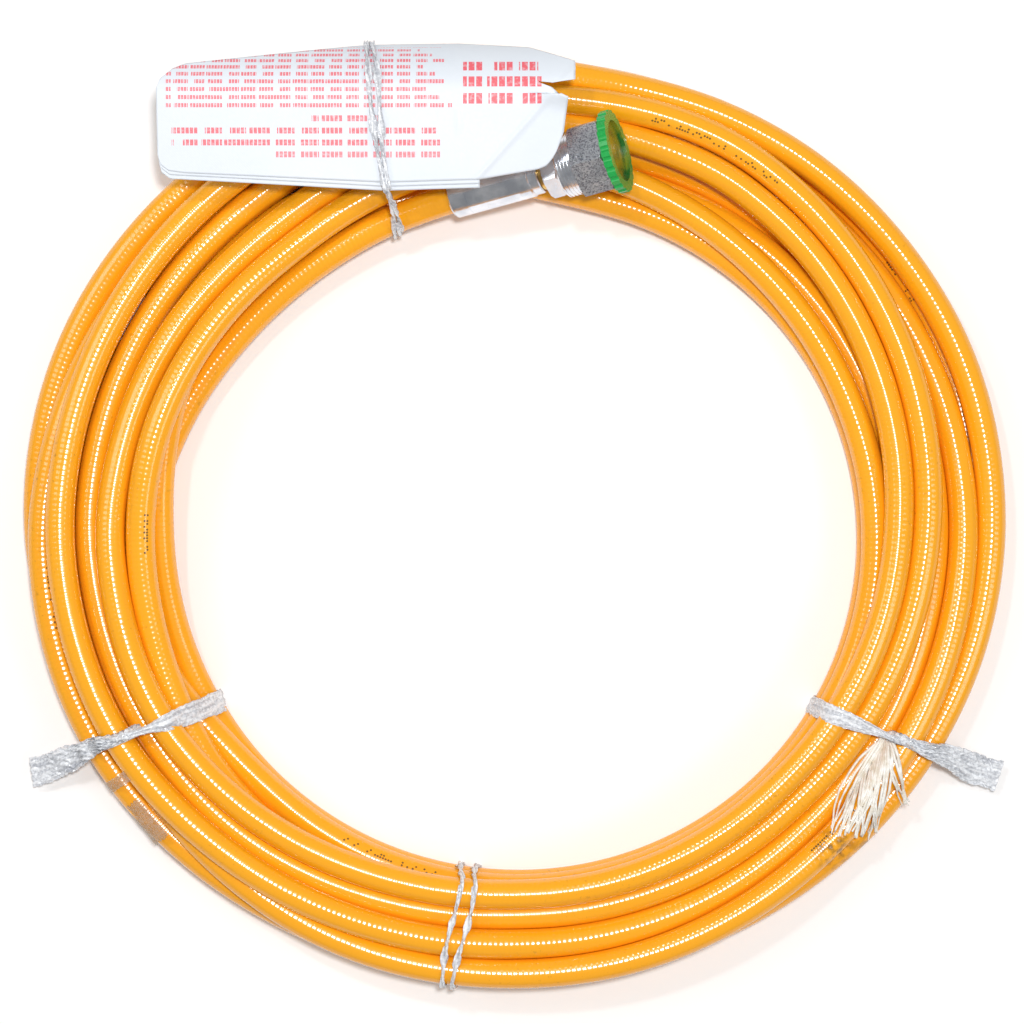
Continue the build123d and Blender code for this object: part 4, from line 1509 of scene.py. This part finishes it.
def softened(values: Array, reach: int) -> Array:
    """Highest value nearby, then evened out: what a stiff thing lying on them follows.

    Args:
        values: heights along a line.
        reach: how many neighbours on each side count as nearby.

    Returns:
        The evened heights, one for each value.
    """
    wide = np.pad(values, reach, mode="edge")
    windows = np.lib.stride_tricks.sliding_window_view(wide, 2 * reach + 1)
    high = np.pad(windows.max(axis=1), reach, mode="edge")
    return np.lib.stride_tricks.sliding_window_view(high, 2 * reach + 1).mean(axis=1)


@dataclass
class FilmTies:
    """The film ties, with their free ends and the frayed tassel.

    Attributes:
        bundle: the laid hose.
        tag: the tag's bend, which the top ties go over.
        film: finish of the ties.
        fibre: finish of the tassel.
        left: where the left tie lies.
        right: where the right tie lies.
        left_knot: x and y of the left tie's knot.
        right_knot: x and y of the right tie's knot.
        bottom: where the two bottom ties lie.
        top: where the two top ties lie.
    """

    bundle: Bundle
    tag: TagShape
    film: bpy.types.Material
    fibre: bpy.types.Material
    left: Cut = Cut((-0.1090, -0.0690), 199.0)
    right: Cut = Cut((0.1126, -0.0705), 338.8)
    left_knot: tuple = (-0.1390, -0.0784)
    right_knot: tuple = (0.1408, -0.0814)
    bottom: tuple = (Cut((-0.0194, -0.1326), 260.5), Cut((-0.0141, -0.1345), 259.1))
    top: tuple = (Cut((-0.0431, 0.1092), 97.6), Cut((-0.0446, 0.1094), 98.8))

    def make(self) -> None:
        """Builds every tie."""
        self._band("left_tie_band", "left_tie", self.left, self.left_knot, 0.0083, 11)
        self._band("right_tie_band", "right_tie", self.right, self.right_knot, 0.0070, 12)
        self._free_end("left_tie_tail", "left_tie_end",
                       self.left_knot, (-0.1845, -0.0975), 0.0110, 21)
        self._free_end("right_tie_tail", "right_tie_end",
                       self.right_knot, (0.1866, -0.0985), 0.0118, 22)
        for number, cut in enumerate(self.bottom, start=1):
            self._cord_tie(f"bottom_tie_strand_{number}", f"bottom_tie_{number}", cut, 30 + number)
        for number, cut in enumerate(self.top, start=1):
            self._cord_tie(f"top_tie_strand_{number}", f"top_tie_{number}", cut, 40 + number, True)
        self._tassel()

    def _place(self, made: bpy.types.Object, node: str, finish: bpy.types.Material) -> None:
        """Finish, body and node of a new piece."""
        made.data.materials.append(finish)
        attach(made, "root")
        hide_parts(node)
        LOG.info("%s stands for %s", made.name, node)

    def _band(self, name: str, node: str, cut: Cut, knot: tuple, width: float, seed: int) -> None:
        """A wide tie round the bundle, gathered to a waist at its knot."""
        flat, facing = self.bundle.loop(cut, 0.0007, 420)
        ahead = (np.array(knot) - np.array(cut.start)) @ cut.ahead
        upper = flat[:, 1] > np.mean(flat[:, 1])
        waist = np.exp(-((flat[:, 0] - ahead) / 0.012) ** 2) * upper
        outer = np.clip((flat[:, 0] - ahead) / 0.01, 0, 1)
        size = width * (1 - 0.66 * waist) * (1 - 0.45 * outer * (1 - waist))
        flutter = 1 + 0.08 * smooth_waves(np.linspace(0, 1, len(flat)), seed, 5, 6.0)
        body = 0.0009 + 0.0011 * waist
        line = cut.lift(flat)
        outward = cut.lift(facing) - np.array([*cut.start, 0.0])
        twist = 0.12 * smooth_waves(np.linspace(0, 1, len(flat)), seed + 1, 4, 3.0)
        strip = Ribbon(line, outward, size * flutter, body, twist, 2.5, seed, True)
        self._place(build(name, [strip.patch()]), node, self.film)

    def _free_end(self, name: str, node: str, knot: tuple, far: tuple, width: float, seed: int) -> None:
        """A tie's loose end: twisted at the knot, spreading flat and drooping past the coil."""
        share = np.linspace(0, 1, 160)
        start, end = np.array(knot), np.array(far)
        plan = start + (end - start) * share[:, None]
        aside = unit(np.array([[start[1] - end[1], end[0] - start[0]]]))
        plan = plan + aside * 0.0012 * smooth_waves(share, seed, 3, 0.8)[:, None]
        ground = softened(self.bundle.top(plan, 0.0008), 8)
        droop = 0.006 + 0.020 * (1 - np.clip((share - 0.35) / 0.65, 0, 1)) ** 1.5
        z = np.maximum(ground, droop) + 0.0006
        z = z + 0.0009 * smooth_waves(share, seed + 3, 3, 1.3)
        line = np.concatenate([plan, z[:, None]], axis=1)
        width_here = 0.0026 + (width - 0.0026) * np.clip((share - 0.12) / 0.6, 0, 1) ** 0.9
        width_here = width_here * (1 + 0.07 * smooth_waves(share, seed + 4, 5, 4.0))
        body = 0.0022 * (1 - share) + 0.0014
        twist = 2.2 * (1 - np.clip(share / 0.4, 0, 1)) ** 2
        twist = twist + 0.25 * smooth_waves(share, seed + 5, 3, 1.5)
        outward = np.tile(np.array([0.0, 0.0, 1.0]), (len(share), 1))
        strip = Ribbon(line, outward, width_here, body, twist, 4.0, seed, columns=72)
        self._place(build(name, [strip.patch()]), node, self.film)

    def _cord_tie(self, name: str, node: str, cut: Cut, seed: int, over_tag: bool = False) -> None:
        """A narrow tie, twisted to a cord as it goes round."""
        over = None
        if over_tag:
            ahead = np.linspace(0.010, 0.070, 40)
            y = cut.start[1] + ahead * cut.ahead[1]
            inside = (y > 0.1200) & (y < 0.1745)
            over = np.stack([ahead, self.tag.height(y) + 0.0003], axis=1)[inside]
        flat, facing = self.bundle.loop(cut, 0.0008, 420, over)
        share = np.linspace(0, 1, len(flat), endpoint=False)
        swing = 0.0009 * np.sin(2 * math.pi * 3 * share + seed)
        line = cut.lift(flat)
        line[:, :2] += cut.aside * swing[:, None]
        outward = cut.lift(facing) - np.array([*cut.start, 0.0])
        width = 0.0024 * (1 + 0.28 * np.sin(2 * math.pi * 9 * share + seed))
        turns = 2 * math.pi * 6 * share
        strip = Ribbon(line, outward, width, np.full(len(flat), 0.0011), turns, 1.5, seed, True, 24)
        self._place(build(name, [strip.patch()]), node, self.film)

    def _tassel(self) -> None:
        """Frayed fibres that fan out from the right knot and lie over the hose."""
        draw = np.random.default_rng(8)
        tips = ((0.1196, -0.1163), (0.1225, -0.1180), (0.1250, -0.1172), (0.1280, -0.1192),
                (0.1308, -0.1188), (0.1345, -0.1196), (0.1375, -0.1180), (0.1485, -0.1075))
        share = np.linspace(0, 1, 90)
        fibres = []
        for tip in tips:
            lean = 0.0016 * draw.normal()
            for _ in range(5):
                start = np.array(self.right_knot) + draw.normal(0, 0.0007, 2)
                end = np.array(tip) + draw.normal(0, 0.0007, 2)
                bow = (0.0012 * draw.normal() + lean) * np.sin(math.pi * share)
                aside = unit(np.array([start[1] - end[1], end[0] - start[0]]))
                wander = bow + 0.0007 * smooth_waves(share, int(draw.integers(999)), 4, 1.0) * share
                plan = start + (end - start) * share[:, None] + aside * wander[:, None]
                z = softened(self.bundle.top(plan, 0.0004), 5) + 0.0004 + 0.0006 * draw.uniform()
                line = np.concatenate([plan, z[:, None]], axis=1)
                thin = 0.00062 * (1 - 0.45 * share) * draw.uniform(0.7, 1.3)
                fibres.append(sweep(line, thin, 7))
        self._place(build("right_tie_fibres", fibres), "right_tie_tassel", self.fibre)


@dataclass
class TapePatches:
    """Two strips of clear tape pressed over the coil's outer shoulder.

    Attributes:
        bundle: the laid hose.
        finish: the tape's material.
        cuts: where the strips lie.
        widths: their widths.
        reaches: how far inwards from the coil's outer edge each one starts.
    """

    bundle: Bundle
    finish: bpy.types.Material
    cuts: tuple = (Cut((-0.1200, -0.0800), 214.0), Cut((-0.1060, -0.0890), 218.5))
    widths: tuple = (0.0045, 0.0180)
    reaches: tuple = (0.012, 0.009)

    def make(self) -> None:
        """Builds both strips."""
        for number, cut in enumerate(self.cuts, start=1):
            flat, facing = self.bundle.loop(cut, 0.0003, 900)
            outer = (facing[:, 0] > -0.05) & (facing[:, 1] > -0.3)
            edge = flat[:, 0].max()
            kept = outer & (flat[:, 0] > edge - self.reaches[number - 1])
            order = np.argsort(np.arctan2(facing[kept, 1], facing[kept, 0]), kind="stable")
            line = cut.lift(flat[kept][order])
            outward = cut.lift(facing[kept][order]) - np.array([*cut.start, 0.0])
            share = np.linspace(0, 1, len(line))
            width = self.widths[number - 1] * (1 + 0.05 * smooth_waves(share, 60 + number, 4, 3.0))
            body = np.full(len(line), 0.00035)
            strip = Ribbon(line, outward, width, body, 0 * share, 2.0, 50 + number)
            made = build(f"clear_tape_{number}", [strip.patch()])
            made.data.materials.append(self.finish)
            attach(made, "root")
            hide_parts(f"tape_{number}")
            LOG.info("clear_tape_%d laid", number)


# ---------------------------------------------------------------- studio
# Name, place, size and watts of each light.
LAMPS = (
    ("key", (0.05, 0.08, 1.10), 0.07, 6.5),
    ("second", (-0.26, 0.36, 1.05), 0.06, 1.8),
    ("left", (-0.9, 0.4, 1.1), 0.5, 3.0),
    ("right", (0.9, -0.3, 1.1), 0.5, 3.0),
)


@dataclass
class Studio:
    """Floor, lights and camera.

    Attributes:
        camera_at: the camera's place. It looks straight down.
        lens: its focal length in millimetres.
        sensor: its sensor's width in millimetres.
        floor_half: half the floor's side.
        floor_lines: grid lines each way on the floor.
        sky: strength of the white sky.
    """

    camera_at: tuple = (-0.00023, 0.0024, 0.965)
    lens: float = 87.9
    sensor: float = 36.0
    floor_half: float = 3.0
    floor_lines: int = 9
    sky: float = 0.30

    def make(self) -> None:
        """Builds the floor, the lights, the sky and the camera."""
        half, count = self.floor_half, self.floor_lines
        edge = np.linspace(-half, half, count)
        flat = np.zeros((count, count))
        grid = np.stack([*np.meshgrid(edge, edge, indexing="xy"), flat], axis=-1)
        floor = build("studio_floor", [Patch(grid, edge, np.append(edge, half))])
        floor.data.materials.append(StudioFloor().material())
        for lamp in LAMPS:
            self._lamp(*lamp)
        world = bpy.data.worlds.new("studio")
        world.use_nodes = True
        background = world.node_tree.nodes["Background"]
        background.inputs["Color"].default_value = (1.0, 1.0, 1.0, 1.0)
        background.inputs["Strength"].default_value = self.sky
        bpy.context.scene.world = world
        bpy.context.scene.view_settings.view_transform = "Standard"
        lens = bpy.data.cameras.new("camera")
        lens.lens = self.lens
        lens.sensor_width = self.sensor
        lens.clip_start, lens.clip_end = 0.01, 20.0
        camera = bpy.data.objects.new("camera", lens)
        camera.location = self.camera_at
        bpy.context.scene.collection.objects.link(camera)
        bpy.context.scene.camera = camera

    def _lamp(self, name: str, place: tuple, size: float, watts: float) -> None:
        """A square soft light that points at the object.

        Args:
            name: its name.
            place: where it hangs.
            size: its side.
            watts: its power.
        """
        light = bpy.data.lights.new(name, "AREA")
        light.size = size
        light.energy = watts
        lamp = bpy.data.objects.new(name, light)
        lamp.location = place
        lamp.rotation_mode = "QUATERNION"
        lamp.rotation_quaternion = (-Vector(place)).to_track_quat("-Z", "Y")
        lamp.visible_camera = False
        bpy.context.scene.collection.objects.link(lamp)


def dress(frame: dict, starts: tuple[str, ...], material: bpy.types.Material) -> None:
    """Gives a finish to CAD nodes.

    Args:
        starts: a node gets the finish if its name starts with one of these.
        material: the finish.
    """
    for name, node in frame["nodes"].items():
        if name.startswith(starts):
            if not node.material_slots:
                node.data.materials.append(material)
            for slot in node.material_slots:
                slot.material = material
            LOG.info("dressed %s", name)


def main() -> None:
    """Builds everything in order."""
    logging.basicConfig(level=logging.INFO, format="%(message)s")
    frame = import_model()
    effects = Effects()
    Studio().make()
    end_a, end_b = fitting_axis(frame, "nut_a_spin"), fitting_axis(frame, "nut_b_spin")
    hose = Hose(end_a, end_b, HoseCover().material(effects))
    hose.make(frame["nodes"])
    for end, axis in (("a", end_a), ("b", end_b)):
        zinc = ZincPlate(f"zinc_{end}", tuple(axis.mouth), tuple(axis.along), FROSTED_FROM)
        dress(frame, (f"ferrule_{end}", f"stem_{end}", f"swivel_nut_{end}"), zinc.material(effects))
    dress(frame, ("clip_ring", "thrust_ring"), TurnedBrass().material(effects))
    cap = CapPlastic(tuple(end_a.mouth), tuple(end_a.along))
    dress(frame, ("plug_cap",), cap.material(effects))
    nylon = MouldedPlastic("core_nylon", (0.8, 0.78, 0.7, 1.0), (0.7, 0.68, 0.6, 1.0))
    dress(frame, ("core_tube",), nylon.material(effects))
    dress(frame, ("braid",), FibreBraid().material(effects))
    bend = TagShape(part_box("tag_front_leaf")[1].z)
    Tag(bend, TagPaper().material(effects), TagPaper(blocks=PRINT).material(effects)).make()
    bundle = Bundle(hose.line)
    fibre = MouldedPlastic("tie_fibre", (0.90, 0.88, 0.84, 1.0), (0.72, 0.66, 0.55, 1.0), 400.0, 0.35)
    FilmTies(bundle, bend, FilmPlastic("tie_film").material(effects), fibre.material(effects)).make()
    tape = FilmPlastic("clear_tape", (0.66, 0.56, 0.42, 1.0), (0.34, 0.23, 0.10, 1.0), 0.32)
    TapePatches(bundle, tape.material(effects)).make()


if __name__ == "__main__":
    main()
